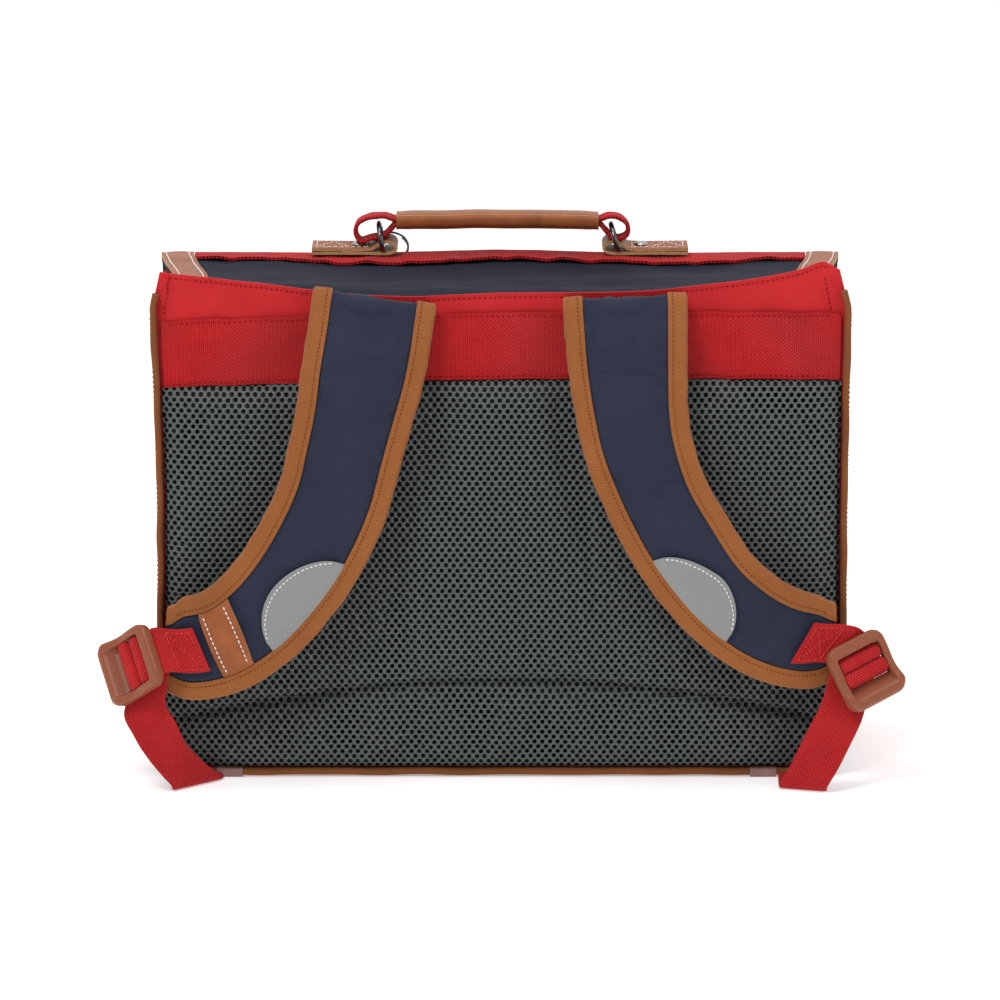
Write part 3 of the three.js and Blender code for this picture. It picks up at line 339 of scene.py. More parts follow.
def tube(name, rings, look, uv=None, closed=False, **more):
    """A surface through rings of points, with its ends filled unless it is closed on itself."""
    count, size = rings.shape[:2]
    faces = grid_faces(count, size, 0, True)
    last = (count - 1) * size
    if closed:
        faces += [(last + c, last + (c + 1) % size, (c + 1) % size, c) for c in range(size)]
    else:
        faces += [tuple(range(size))[::-1], tuple(range(last, count * size))]
    return make(name, rings.reshape(-1, 3), faces, look, None if uv is None else uv.reshape(-1, 2), **more)


def section_tube(name, at, across, way, section, place, look, **more):
    """A tube along stations. place says how far across each (aside, out) spot of its section lies."""
    rings = [at + across * place(aside, out)[:, None] + way * out for aside, out in section]
    uv = stack(lengths(at)[:, None], lengths(section))
    return tube(name, np.stack(rings, axis=1), look, uv, **more)


RIBBON_SPOTS = np.array([0, 0.25, 0.5, 0.7, 0.85, 0.94, 0.985, 1])
ACROSS = np.concatenate([-RIBBON_SPOTS[:0:-1], RIBBON_SPOTS])


def ribbon(name, at, across, face, width, thick, look, wave=None, **more):
    """A flat strip with round edges along stations. wave adds to its height at (station, across)."""
    width = np.broadcast_to(width, len(at))[:, None]
    run = lengths(at)[:, None]
    aside = ACROSS * width / 2
    half = thick / 2 * np.sqrt(np.clip(1 - np.abs(ACROSS) ** 16, 0.06, 1))
    middle = 0 if wave is None else wave(run, aside)
    base = at[:, None] + across[:, None] * aside[..., None]
    top = base + face[:, None] * np.atleast_2d(middle + half)[..., None]
    bottom = base + face[:, None] * np.atleast_2d(middle - half)[..., None]
    return wall(name, top, bottom, look, stack(aside, run), **more)


def wire(name, line, radius, look, across, closed=False, sides=12, **more):
    """Round wire along a line."""
    ahead = np.roll(line, -1, axis=0) - np.roll(line, 1, axis=0)
    if not closed:
        ahead[0] = line[1] - line[0]
        ahead[-1] = line[-1] - line[-2]
    side = unit(np.cross(unit(ahead), across))
    up = unit(np.cross(side, unit(ahead)))
    angle = np.linspace(0, 2 * math.pi, sides, endpoint=False)[:, None]
    ring = np.cos(angle) * side[:, None] + np.sin(angle) * up[:, None]
    uv = stack(lengths(line)[:, None], angle[:, 0] * radius)
    return tube(name, line[:, None] + radius * ring, look, uv, closed=closed, **more)


threads = {}


def stitch(kind, line, out, length, gap, radius=THREAD, seed=1):
    """Lays short threads along a line. out is the way out of the cloth, for the line or for each point."""
    line = np.asarray(line)
    points, outs = resample(0.5, line, np.broadcast_to(out, line.shape))
    run = lengths(points)
    rng = np.random.default_rng(seed)
    start = gap / 2
    rise = np.array([-0.9, -0.2, 0.55, 0.8, 0.55, -0.2, -0.9]) * radius
    fat = radius * np.array([0.35, 0.85, 1, 1, 1, 0.85, 0.35])[:, None, None]
    angle = np.linspace(0, 2 * math.pi, THREAD_SIDES, endpoint=False)[:, None]
    while start + length * 0.8 < run[-1]:
        size = length * rng.uniform(0.93, 1.05)
        at = np.linspace(start, min(start + size, run[-1]), THREAD_RINGS)
        away = unit(read(at, run, outs))
        centre = read(at, run, points) + away * (rise - THREAD_SINK + radius * 0.5)[:, None]
        side = unit(np.cross(unit(np.gradient(centre, axis=0)), away))
        centre = centre + side * rng.normal(0, 0.05)
        ring = np.cos(angle) * side[:, None] + np.sin(angle) * away[:, None]
        threads.setdefault(kind, []).append(centre[:, None] + fat * ring)
        start += size + gap


def sew(name, kind, look):
    """Makes one mesh of all threads of a kind."""
    rings = np.array(threads.pop(kind))
    size = THREAD_RINGS * THREAD_SIDES
    faces = []
    for start in range(0, len(rings) * size, size):
        faces += grid_faces(THREAD_RINGS, THREAD_SIDES, start, True)
        faces.append(tuple(range(start + THREAD_SIDES - 1, start - 1, -1)))
        faces.append(tuple(range(start + size - THREAD_SIDES, start + size)))
    make(name, rings.reshape(-1, 3), faces, look, sharp=None, turn=False)


def spots_of(mesh):
    spots = np.empty(len(mesh.vertices) * 3)
    mesh.vertices.foreach_get("co", spots)
    return spots.reshape(-1, 3)


def swell(obj, sewn, cap, pressure, bend):
    """Cloth simulation that fills a piece out between the points where it is sewn down."""
    rest = spots_of(obj.data)
    group = obj.vertex_groups.new(name="sewn")
    group.add(np.flatnonzero(sewn).tolist(), 1.0, "REPLACE")
    cloth = obj.modifiers.new("cloth", "CLOTH")
    cloth.settings.quality = 6
    cloth.settings.vertex_group_mass = "sewn"
    cloth.settings.use_pressure = True
    cloth.settings.uniform_pressure_force = pressure
    cloth.settings.shrink_min = -0.05
    cloth.settings.bending_stiffness = bend
    cloth.settings.effector_weights.gravity = 0
    cloth.point_cache.frame_start = 1
    cloth.point_cache.frame_end = SWELL_FRAMES
    for number in range(1, SWELL_FRAMES + 1):
        bpy.context.scene.frame_set(number)
    change = spots_of(obj.evaluated_get(bpy.context.evaluated_depsgraph_get()).data) - rest
    far = np.linalg.norm(change, axis=1, keepdims=True)
    change = change * np.minimum(1, cap * MM / np.maximum(far, 1e-9))
    obj.modifiers.remove(cloth)
    obj.data.vertices.foreach_set("co", (rest + change).ravel())
    obj.data.update()
    bpy.context.scene.frame_set(1)


# Materials

class Number:
    """A number in a material. Arithmetic with it adds Math nodes."""

    def __init__(self, look, socket):
        self.look = look
        self.socket = socket

    def math(self, operation, other=0.0):
        return self.look.number("ShaderNodeMath", {0: self, 1: other}, operation=operation)

    def __add__(self, other):
        return self.math("ADD", other)

    def __mul__(self, other):
        return self.math("MULTIPLY", other)

    def wave(self, pitch, shift=0.0):
        """Half waves from 0 to 1, one every pitch."""
        return (self * (math.pi / pitch) + shift).math("SINE").math("ABSOLUTE")

    def ramp(self, low, high, to_low=0.0, to_high=1.0):
        sockets = {"Value": self, "From Min": low, "From Max": high, "To Min": to_low, "To Max": to_high}
        return self.look.number("ShaderNodeMapRange", sockets)


class Look:
    """A procedural material."""

    def __init__(self, name, rough=0.8, metal=0.0, sheen=0.0, specular=0.3):
        self.material = bpy.data.materials.new(name)
        self.material.use_nodes = True
        self.tree = self.material.node_tree
        self.surface = self.tree.nodes["Principled BSDF"]
        self.put("Roughness", rough)
        self.put("Metallic", metal)
        self.put("Sheen Weight", sheen)
        self.put("Sheen Roughness", 0.5)
        self.put("Specular IOR Level", specular)

    def put(self, socket, value, node=None):
        """Sets or links a socket, of the surface if no node is given."""
        node = node or self.surface
        if isinstance(value, Number):
            self.tree.links.new(value.socket, node.inputs[socket])
        elif isinstance(value, bpy.types.NodeSocket):
            self.tree.links.new(value, node.inputs[socket])
        else:
            node.inputs[socket].default_value = value

    def add(self, kind, sockets, **settings):
        node = self.tree.nodes.new(kind)
        for setting, value in settings.items():
            setattr(node, setting, value)
        for socket, value in sockets.items():
            self.put(socket, value, node)
        return node

    def number(self, kind, sockets, output=0, **settings):
        return Number(self, self.add(kind, sockets, **settings).outputs[output])

    def cloth_uv(self):
        spot = self.add("ShaderNodeUVMap", {}, uv_map="cloth").outputs[0]
        split = self.add("ShaderNodeSeparateXYZ", {0: spot})
        return Number(self, split.outputs[0]), Number(self, split.outputs[1])

    def place(self):
        """Where the shaded point is, in millimetres."""
        spot = self.add("ShaderNodeTexCoord", {}).outputs["Object"]
        return self.add("ShaderNodeVectorMath", {0: spot, "Scale": 1000.0}, operation="SCALE").outputs[0]

    def noise(self, size, detail=3.0, rough=0.5):
        sockets = {"Vector": self.place(), "Scale": 1.0 / size, "Detail": detail, "Roughness": rough}
        return self.number("ShaderNodeTexNoise", sockets, "Fac")

    def paint(self, share, dark, light):
        sockets = {0: share, 6: (*dark, 1.0), 7: (*light, 1.0)}
        self.put("Base Color", self.add("ShaderNodeMix", sockets, data_type="RGBA").outputs[2])

    def relief(self, height, depth):
        self.put("Normal", self.add("ShaderNodeBump", {"Height": height, "Distance": depth * MM}).outputs[0])

    def weave(self, height, depth, colors, span, clouds, fuzz):
        """Paints threads lighter on their tops and darker in the valleys between them, which is painted
        shade, with clouds and fuzz given as (size, ..., strength).
        """
        cloud_size, cloud_detail, cloud = clouds
        fuzz_size, fuzz_strength = fuzz
        # Weave height mixes dark into light: painted shade in the valleys between threads. Clouds and fuzz
        # are random tone.
        share = height.ramp(*span) + self.noise(cloud_size, cloud_detail, 0.6).ramp(0.3, 0.7, -cloud, cloud)
        share = share + self.noise(fuzz_size, 2.0).ramp(0.2, 0.8, -fuzz_strength, fuzz_strength)
        self.paint(share.math("MAXIMUM", 0.0).math("MINIMUM", 1.0), *colors)
        self.relief(height, depth)
        return self.material


def plain_weave(name, dark, light, pitch, depth, cloud=0.12, sheen=0.1, rough=0.8, diagonal=0.0):
    """Woven cloth, threads going over and under each other, or in slanting ribs if diagonal is set."""
    look = Look(name, rough=rough, sheen=sheen, specular=0.1)
    u, v = look.cloth_uv()
    if diagonal:
        slant = u * math.cos(diagonal) + v * math.sin(diagonal)
        along = v * math.cos(diagonal) + u * -math.sin(diagonal)
        height = slant.wave(pitch) * (along.wave(pitch * 1.3) * 0.25 + 0.75)
    else:
        over = u.wave(pitch) * (v.wave(2 * pitch) * 0.4 + 0.6)
        under = v.wave(pitch) * (u.wave(2 * pitch, 1.57) * 0.4 + 0.6)
        height = over.math("MAXIMUM", under)
    return look.weave(height, depth, (dark, light), (0.25, 0.95, 0.15, 0.85), (34.0, 4.0, cloud), (0.9, 0.12))


def webbing(name, dark, light, long_pitch, wide_pitch, depth):
    """Ribbed webbing: long floats side by side, each row half a float on from the last."""
    look = Look(name, rough=0.8, sheen=0.04, specular=0.08)
    u, v = look.cloth_uv()
    shift = v.math("DIVIDE", wide_pitch).math("FLOOR") * (math.pi / 2)
    floats = u.wave(long_pitch, shift).math("POWER", 0.6)
    height = (floats * v.wave(wide_pitch)).math("POWER", 0.7)
    return look.weave(height, depth, (dark, light), (0.1, 0.9, 0.0, 0.9), (26.0, 3.0, 0.1), (0.7, 0.15))


def leather(name, dark, light, rough, grain):
    look = Look(name, specular=0.22)
    pores = look.number("ShaderNodeTexVoronoi", {"Vector": look.place(), "Scale": 1.1}, "Distance")
    fine = look.noise(1.2)
    look.paint(look.noise(14.0, 5.0, 0.6).ramp(0.3, 0.7), dark, light)
    look.relief(pores * 0.5 + fine, grain)
    look.put("Roughness", fine.ramp(0.2, 0.8, rough - 0.08, rough + 0.12))
    return look.material


def flat_look(name, color, rough, grain_size=0.0, grain=0.05, vary=0.1, **more):
    look = Look(name, rough, **more)
    shade = look.noise(grain_size or 8.0)
    color = np.array(color)
    look.paint(shade.ramp(0.3, 0.7), color * (1 - vary), np.minimum(color * (1 + vary), 1))
    if grain_size:
        look.relief(shade, grain)
    return look.material


# In the woven cloths and webbing below, the dark colour is painted shade in the weave's valleys as well as
# the tone of the darker clouds.
RED_CLOTH = plain_weave("red_cloth", (0.39, 0.015, 0.018), (0.60, 0.026, 0.029), 0.62, 0.07,
                        cloud=0.2, sheen=0.04, rough=0.75)
RED_WEBBING = webbing("red_webbing", (0.25, 0.008, 0.011), (0.63, 0.029, 0.030), 2.2, 1.15, 0.3)
NAVY = plain_weave("navy_cloth", (0.014, 0.017, 0.032), (0.035, 0.041, 0.071), 0.8, 0.08,
                   diagonal=0.8, sheen=0.06)
NAVY_COATED = plain_weave("navy_flap", (0.006, 0.007, 0.016), (0.019, 0.022, 0.040), 0.7, 0.05,
                          cloud=0.2, sheen=0.02)
TAPE = plain_weave("tan_tape", (0.20, 0.062, 0.016), (0.40, 0.142, 0.042), 0.75, 0.13,
                   diagonal=0.25, sheen=0.12)
BINDING = plain_weave("binding_tape", (0.13, 0.038, 0.012), (0.30, 0.098, 0.028), 0.75, 0.13, diagonal=0.6)
BLACK = plain_weave("black_cloth", (0.006, 0.006, 0.007), (0.022, 0.022, 0.025), 1.4, 0.25,
                    sheen=0.05, rough=0.85)
LEATHER = leather("tan_leather", (0.225, 0.062, 0.018), (0.345, 0.102, 0.030), 0.42, 0.12)
RAW_EDGE = flat_look("raw_leather_edge", (0.44, 0.27, 0.12), 0.85, 0.8, vary=0.25)
PLASTIC = flat_look("buckle_plastic", (0.26, 0.072, 0.032), 0.38, 1.6, 0.02, 0.05, specular=0.35)
DARK_METAL = flat_look("dark_metal", (0.16, 0.155, 0.16), 0.22, vary=0.15, metal=1.0)
STEEL = flat_look("rivet_metal", (0.42, 0.41, 0.4), 0.3, 1.0, 0.03, metal=1.0)
FILM = flat_look("reflective_film", (0.235, 0.24, 0.236), 0.5, 0.5, 0.06, specular=0.4)
FOAM = flat_look("pad_foam", (0.006, 0.007, 0.007), 0.95, 1.5, vary=0.3)
NET = flat_look("mesh_yarn", (0.080, 0.096, 0.092), 0.5, 0.45, 0.16, 0.3, sheen=0.2, specular=0.5)
SLEEVE = flat_look("clear_sleeve", (0.25, 0.13, 0.115), 0.3, vary=0.2, specular=0.6)
THREAD_RED = flat_look("thread_red", (0.33, 0.010, 0.015), 0.8, vary=0.15, specular=0.1)
THREAD_BRIGHT = flat_look("thread_bright_red", (0.60, 0.035, 0.035), 0.6, vary=0.15)
THREAD_TAN = flat_look("thread_tan", (0.19, 0.058, 0.018), 0.8, vary=0.15, specular=0.1)
THREAD_WHITE = flat_look("thread_white", (0.82, 0.8, 0.76), 0.65, vary=0.05)


# Forms of the body

def side_at(x_sign, height, inset=0.0):
    """Half the body's width at a height, on the side of x_sign."""
    pull = np.where(x_sign < 0, SIDE_PULL_LEFT, SIDE_PULL_RIGHT)
    drawn = pull * np.sin(math.pi * np.clip(height / BACK_HEIGHT, 0, 1))
    tapered = CORNER_TAPER * np.clip((height - BACK_HEIGHT + TAPER_HEIGHT) / TAPER_HEIGHT, 0, 1)
    radius = CORNER_RADIUS - inset
    above = np.maximum(radius - (height - inset), 0)
    rounded_off = radius - np.sqrt(np.maximum(radius**2 - above**2, 0))
    return BODY_WIDTH / 2 - drawn - tapered - rounded_off - inset


# How far the back panel's top edge sinks: shares of the half width and of the sag
TOP_EDGE = (
    (-1, 0), (-0.82, 0.28), (-0.68, 0.5), (-0.53, 0.77), (-0.28, 1), (0, 0.86),
    (0.35, 0.82), (0.6, 0.52), (0.76, 0.24), (0.88, -0.08), (0.95, -0.42), (1, -0.1),
)


def top_edge_at(across):
    line = spline(TOP_EDGE, np.linspace(0, 1, 241))
    return BACK_HEIGHT - BACK_TOP_SAG * np.interp(across, line[:, 0], line[:, 1])


def panel_spot(across, height, inset, y):
    return stack(across * side_at(across, height, inset), y, BASE_SAG + height)


def band_line(across):
    return BAND_MIDDLE + BAND_SLOPE / 2 * across - BAND_SAG * across**2


def pad_top(across):
    return band_line(across) - BAND_WIDTH / 2 - SEWN_GAP


def crease_at(across):
    return mix(CREASE_MIDDLE, CREASE_ENDS, across**2)


def pad_height(across, z):
    """How far the pad stands out from the back panel."""
    x = across * side_at(across, z - BASE_SAG, PAD_INSET)
    top = pad_top(across)
    roll = dome((1 - np.abs(across)) * BODY_WIDTH / 2 / PAD_ROUND)
    roll = roll * dome((top - z) / PAD_ROUND) * dome((z - PAD_LOW) / PAD_ROUND)
    valley = np.exp(-np.abs(z - crease_at(across)) / CREASE_BAND)
    beside = hump(np.abs(x) - LOBE_SPACING, LOBE_WIDTH)
    grooved = LOBE_GROOVE * beside * smooth((z - LOBE_FOOT) / (top - LOBE_FOOT) / 0.4)
    tucks = 0.5 * ripple(stack(x * 1.2, z), 46, 5)
    height = PAD_EDGE + PAD_LOFT * roll - (CREASE_DEPTH * valley + grooved - tucks) * roll
    return np.maximum(height, PAD_EDGE * 0.8)


CORNER_ROWS = CORNER_RADIUS * (1 - np.cos(np.linspace(0, math.pi / 2, 7)))
# Darts at the back panel's top corners: side, distance from the middle at DART_TOP, and lean
DART_TOP = 284
DARTS = ((-1, 186, 0.13), (1, 182.5, 0.2))
# Soft folds there: size, x at a height, lean, that height, width, middle height, reach
FOLDS = ((1.5, -160, -1.4, 270, 9, 275, 16), (1.2, 172, 0.8, 272, 8, 276, 14))


def dart_at(sign, spot, lean, height):
    return sign * (spot + lean * (DART_TOP - height))


def back_panel():
    """Red cloth with a hem along its free top edge and soft waves above the webbing."""
    across = np.linspace(-1, 1, 199)
    top = top_edge_at(across) - BASE_SAG
    low = np.concatenate([CORNER_ROWS, [60, 105, 150, 195, 231]])[:, None]
    shown = mix(238, top, np.linspace(0, 1, 44)[:, None] ** 0.9)
    heights = np.concatenate([np.repeat(low, len(across), 1), shown])
    spots = panel_spot(across, heights, 0, BACK_Y)
    x = spots[..., 0]
    loose = 1.3 * ripple(stack(x, 0.45 * heights), 62, 11) + 0.45 * ripple(stack(x, 0.5 * heights), 21, 12)
    for size, spot, lean, level, width, middle, reach in FOLDS:
        fold = size * hump(x - spot - (heights - level) * lean, width)
        loose = loose + fold * hump(heights - middle, reach)
    loose = loose * smooth((heights - 240) / 30)
    pressed = 0.4 * hump(top - heights - HEM, 0.9)
    for dart in DARTS:
        pressed = pressed + 0.8 * hump(x - dart_at(*dart, heights), 1.2) * smooth((heights - 262) / 6)
    face = spots + AWAY * (loose - pressed)[..., None]
    back = spots - AWAY * (CLOTH_WALL - loose)[..., None]
    wall("back_panel_cloth", face, back, RED_CLOTH, stack(x, heights), node="back_panel")
    depth_at = lambda column, height: np.interp(height, heights[:, column], face[:, column, 1])
    line = panel_spot(across, top - HEM, 0, BACK_Y)
    line[:, 1] = [depth_at(column, height - HEM) for column, height in enumerate(top)]
    stitch("red", line[3:-3], AWAY, 2.3, 0.6, seed=3)
    height = np.linspace(264, 287, 12)
    for dart in DARTS:
        place = dart_at(*dart, height)
        columns = np.searchsorted(x[-10], place).clip(0, len(across) - 1)
        depth = [depth_at(column, each) for column, each in zip(columns, height)]
        stitch("red", stack(place + dart[0] * 1.6, depth, BASE_SAG + height), AWAY, 2.3, 0.6, seed=7)


def front_panel():
    across = np.linspace(-1, 1, 61)
    straight = np.linspace(CORNER_RADIUS, FRONT_HEIGHT - BASE_SAG, 34)[1:]
    heights = np.concatenate([CORNER_ROWS, straight])[:, None]
    spots = panel_spot(across, heights, 0, BODY_DEPTH / 2)
    waves = 0.5 * ripple(spots[..., ::2], 70, 31)
    bulge = FRONT_BULGE * np.cos(math.pi / 2 * across) + waves
    spots[..., 1] += bulge * np.sin(math.pi * np.clip(heights / FRONT_HEIGHT, 0, 1))
    inner = spots + AWAY * CLOTH_WALL
    wall("front_panel_cloth", spots, inner, RED_CLOTH, spots[..., ::2], node="front_panel")


# Flap line as depth and height, from inside the back panel over the top and down the front
FLAP_FRONT = BODY_DEPTH / 2 + FRONT_BINDING_STAND + TOUCH_GAP + CLOTH_WALL + SEWN_GAP
FLAP_POINTS = (
    (-INSIDE, FLAP_TOP - FLAP_POCKET - FLAP_ROUND / 2),
    (-INSIDE, FLAP_TOP - FLAP_ROUND),
    (-INSIDE + 0.25 * FLAP_ROUND, FLAP_TOP - 0.42 * FLAP_ROUND),
    (-INSIDE + FLAP_ROUND, FLAP_TOP - 0.12 * FLAP_ROUND),
    (-0.25 * BODY_DEPTH, FLAP_TOP - 1),
    (0, FLAP_TOP),
    (0.25 * BODY_DEPTH, FLAP_TOP + 0.5),
    (FLAP_FRONT - FLAP_ROUND, FLAP_TOP),
    (FLAP_FRONT - 0.42 * FLAP_ROUND, FLAP_TOP - 0.2 * FLAP_ROUND),
    (FLAP_FRONT - 0.12 * FLAP_ROUND, FLAP_TOP - 0.62 * FLAP_ROUND),
    (FLAP_FRONT, FLAP_TOP - 1.3 * FLAP_ROUND),
    (FLAP_FRONT + 1, FLAP_TOP - 0.35 * FLAP_HANG),
    (FLAP_FRONT + 1.5, FLAP_TOP - 0.7 * FLAP_HANG),
    (FLAP_FRONT, FLAP_TOP - FLAP_HANG),
)
flap_line = resample(0.5, spline(FLAP_POINTS, np.linspace(0, 1, 1301)))[0]
flap_y, flap_z = flap_line.T
flap_shares = np.linspace(0, 1, len(flap_line))
FLAP_LENGTH = lengths(flap_line)[-1]


def flap_share_at(y):
    top = int(len(flap_line) * 0.45)
    return np.interp(y, flap_y[:top], flap_shares[:top])


RIDGE = flap_share_at(FLAP_FRONT - 0.42 * FLAP_ROUND)


def flap_half(v):
    y = np.interp(v, flap_shares, flap_y)
    half = mix(FLAP_BACK_WIDTH, FLAP_FRONT_WIDTH, smooth((y + BODY_DEPTH / 2) / BODY_DEPTH)) / 2
    above = np.maximum(FLAP_CORNER - (1 - v) * FLAP_LENGTH, 0)
    return half - FLAP_CORNER + np.sqrt(np.maximum(FLAP_CORNER**2 - above**2, 0))


def flap_spot(x, v, wrinkled=True):
    y = np.interp(v, flap_shares, flap_y)
    z = np.interp(v, flap_shares, flap_z)
    reach = np.clip((y + INSIDE) / (FLAP_FRONT - FLAP_ROUND + INSIDE), 0, 1)
    sunk = FLAP_SAG * np.sin(math.pi * reach) * (1 - (x / flap_half(v)) ** 2)
    spots = stack(x, y, z - sunk)
    if wrinkled:
        wave = 1.2 * ripple(spots[..., :2] * [1, 1.3], 66, 21) + 0.35 * ripple(spots[..., :2], 24, 22)
        wave = wave * smooth((flap_half(v) - np.abs(x)) / 25)
        spots[..., 2] += wave * smooth(reach / 0.12) * smooth((1 - reach) / 0.3)
        spots[..., 2] += (1.3 * hump(x, 42) - 0.5 * hump(np.abs(x) - 95, 30)) * smooth((reach - 0.4) / 0.5)
    return spots


def flap():
    across = np.linspace(-1, 1, 131)
    corner = FLAP_CORNER / FLAP_LENGTH
    top = np.linspace(0, RIDGE + 0.08, 78)
    hanging = np.linspace(RIDGE + 0.08, 1 - corner, 24)
    end = 1 - corner * np.linspace(1, 0, 12) ** 2
    v = np.unique(np.concatenate([top, hanging, end]))[:, None]
    spots = flap_spot(across * flap_half(v), v)
    down = smooth((v - RIDGE - 0.05) / 0.2)
    spots[..., 1] += 0.7 * down * ripple(spots[..., ::2], 80, 24)
    uv = stack(spots[..., 0], v * FLAP_LENGTH)
    wall("flap_cloth", spots, spots - ways_up(spots) * FLAP_WALL, NAVY_COATED, uv, node="flap")


def flap_webbing():
    """Webbing along the front ridge, with a loose puckered near edge."""
    u = np.linspace(-1, 1, 161)
    v = np.linspace(0, 1, 19)[:, None]
    places = (-1, -0.86, -0.62, -0.5, -0.3, -0.18, 0, 0.2, 0.36, 0.55, 0.75, 0.84, 1)
    shifts = (3.5, 0.8, 1, -2.8, -3.2, -2.2, 0.6, 1.4, -0.5, -2.4, -2.2, 1, 2)
    wave = 1.6 * eased(u, places, shifts) * (1 - v)
    share = flap_share_at(FLAP_BAND_NEAR) + (v * BAND_WIDTH + 0.9 * wave) / FLAP_LENGTH
    spots = flap_spot(u * (flap_half(share) - TRIM_WIDTH - SEWN_GAP), share)
    pucker = 0.8 * ripple(stack(spots[..., 0], spots[..., 1] * 0.3), 17, 41) + 0.5 + 1.2 * hump(u, 0.3)
    lift = (TOUCH_GAP + 0.15 + np.maximum(pucker * (1 - v) ** 2, 0))[..., None]
    out = ways_up(spots)
    uv = stack(v * BAND_WIDTH, spots[..., 0])
    top = spots + out * (lift + BAND_WALL)
    wall("flap_webbing_cloth", top, spots + out * lift, RED_WEBBING, uv, node="flap_webbing")


def flap_trims():
    """Leather along both side edges of the flap's top."""
    v = np.linspace(flap_share_at(TRIM_BACK), RIDGE + TRIM_OVER / FLAP_LENGTH, 64)[:, None]
    inner = np.linspace(0, 1, 15)
    groove = 0.3 * (hump(inner - 0.14, 0.035) + hump(inner - 0.86, 0.035))
    for side, sign in SIDES:
        spots = flap_spot(sign * (flap_half(v) - inner * TRIM_WIDTH), v, wrinkled=False)
        out = ways_up(spots)
        soft = 0.35 * ripple(spots[..., :2], 30, 51) + 0.5 * hump(inner - 0.5, 0.4)
        top = spots + out * (TRIM_WALL + TOUCH_GAP + soft - groove)[..., None]
        low = spots + out * TOUCH_GAP
        node = f"flap_trim_{side}"
        wall(f"{node}_leather", top, low, LEATHER, spots[..., :2], RAW_EDGE, node=node)
        for column in (2, 12):
            stitch("white", top[2:-2, column], out[2:-2, column], 2.4, 0.7, radius=0.36, seed=column)


def gusset_top(y):
    z = np.interp(flap_share_at(y), flap_shares, flap_z) - FLAP_WALL - 2
    behind = np.clip((TRIM_BACK - y) / (TRIM_BACK + BODY_DEPTH / 2), 0, 1)
    return mix(z, BACK_HEIGHT - BASE_SAG, smooth(behind))


def gussets():
    y = np.linspace(-INSIDE, INSIDE, 41)
    v = np.linspace(0, 1, 61)[:, None]
    z = mix(BASE_WRAP + SEWN_GAP, gusset_top(y), v)
    height = np.minimum(z, BACK_HEIGHT) - BASE_SAG
    inner = 1 - (y / INSIDE) ** 2
    bulge = SIDE_BULGE * inner * np.sin(math.pi * z / BACK_HEIGHT) * np.clip(height / BACK_HEIGHT + 0.3, 0, 1)
    soft = 1.1 * ripple(stack(y, z), 85, 61) * inner * np.sin(math.pi * v)
    for side, sign in SIDES:
        spots = stack(sign * (side_at(sign, height) + bulge + soft), y, z)
        lining = spots - [sign * CLOTH_WALL, 0, 0]
        node = f"side_gusset_{side}"
        wall(f"{node}_cloth", spots, lining, RED_CLOTH, spots[..., 1:], node=node)


def seam_line(left_top, right_top):
    """Spots down the left seam, along the bottom and up the right seam, with the way out of the bag."""
    legs = []
    for sign, top in ((-1, left_top), (1, right_top)):
        straight = np.linspace(top - BASE_SAG, CORNER_RADIUS, 60)
        bend = CORNER_RADIUS * (1 - np.sin(np.linspace(0, math.pi / 2, 16)[1:]))
        height = np.concatenate([straight, bend])
        legs.append(stack(sign * side_at(sign, height), 0, BASE_SAG + height))
    left, right = legs[0], legs[1][::-1]
    bottom = mix(left[-1], right[0], np.linspace(0, 1, 90)[1:-1, None])
    spots = np.concatenate([left, bottom, right])
    ahead = np.gradient(spots, axis=0)
    return spots, unit(stack(ahead[:, 2], 0, -ahead[:, 0]))


def bindings():
    back = ("back", -1, BINDING_STAND, BINDING_TOP_LEFT, BINDING_TOP_RIGHT)
    front = ("front", 1, FRONT_BINDING_STAND, FRONT_BINDING_TOP, FRONT_BINDING_TOP)
    outer, inner = BINDING_PROUD, BINDING_PROUD - BINDING_WALL
    for name, face, stand, left, right in (back, front):
        spots, across = seam_line(left, right)
        spots[:, 1] = face * BODY_DEPTH / 2
        section = [
            (outer, 0.4), (outer + 0.15, 0.4 * stand), (outer, stand - 1.4), (outer - 0.5, stand - 0.35),
            (outer - 1.2, stand), (inner + 1.2, stand), (inner + 0.5, stand - 0.35), (inner, stand - 1.4),
            (inner - 0.1, 0.45 * stand), (inner, 0.4),
        ]
        run = lengths(spots)
        soft = 0.45 * ripple(run[:, None], 48, 71) * np.minimum(1, (run[-1] - np.abs(2 * run - run[-1])) / 30)
        place = lambda aside, out: aside + soft * (out / stand)
        way = -face * AWAY
        node = f"{name}_binding"
        section_tube(f"{node}_tape", spots, across, way, section, place, BINDING, node=node)
        if name == "back":
            line = spots + across * outer * 1.1 + way * 2.2
            stitch("tan", line[3:-3], across[3:-3], 2.2, 0.6, radius=0.3, seed=9)


def sleeves():
    """Clear sleeves round the binding's lower edge."""
    tip = BINDING_STAND + TOUCH_GAP
    outer, inner = BINDING_PROUD + TOUCH_GAP, BINDING_PROUD - BINDING_WALL - TOUCH_GAP
    drop, out = np.transpose([
        (outer + 0.5, 2), (outer + 0.5, tip), (outer, tip + 0.55), (inner, tip + 0.55), (inner - 0.5, tip),
        (inner - 0.5, 4.2), (inner, 4.2), (inner, tip - 0.1), (outer, tip - 0.1), (outer, 2),
    ])
    for side, x in SLEEVE_SPOTS.items():
        at = np.linspace(x - SLEEVE_LENGTH / 2, x + SLEEVE_LENGTH / 2, 16)[:, None]
        y = BACK_Y - out - 0.125 * ripple(at, 5, 81)[:, None]
        rings = stack(at, y, np.maximum(BASE_SAG - drop, 0.1))
        tube(f"binding_sleeve_{side}_film", rings, SLEEVE, node=f"binding_sleeve_{side}")


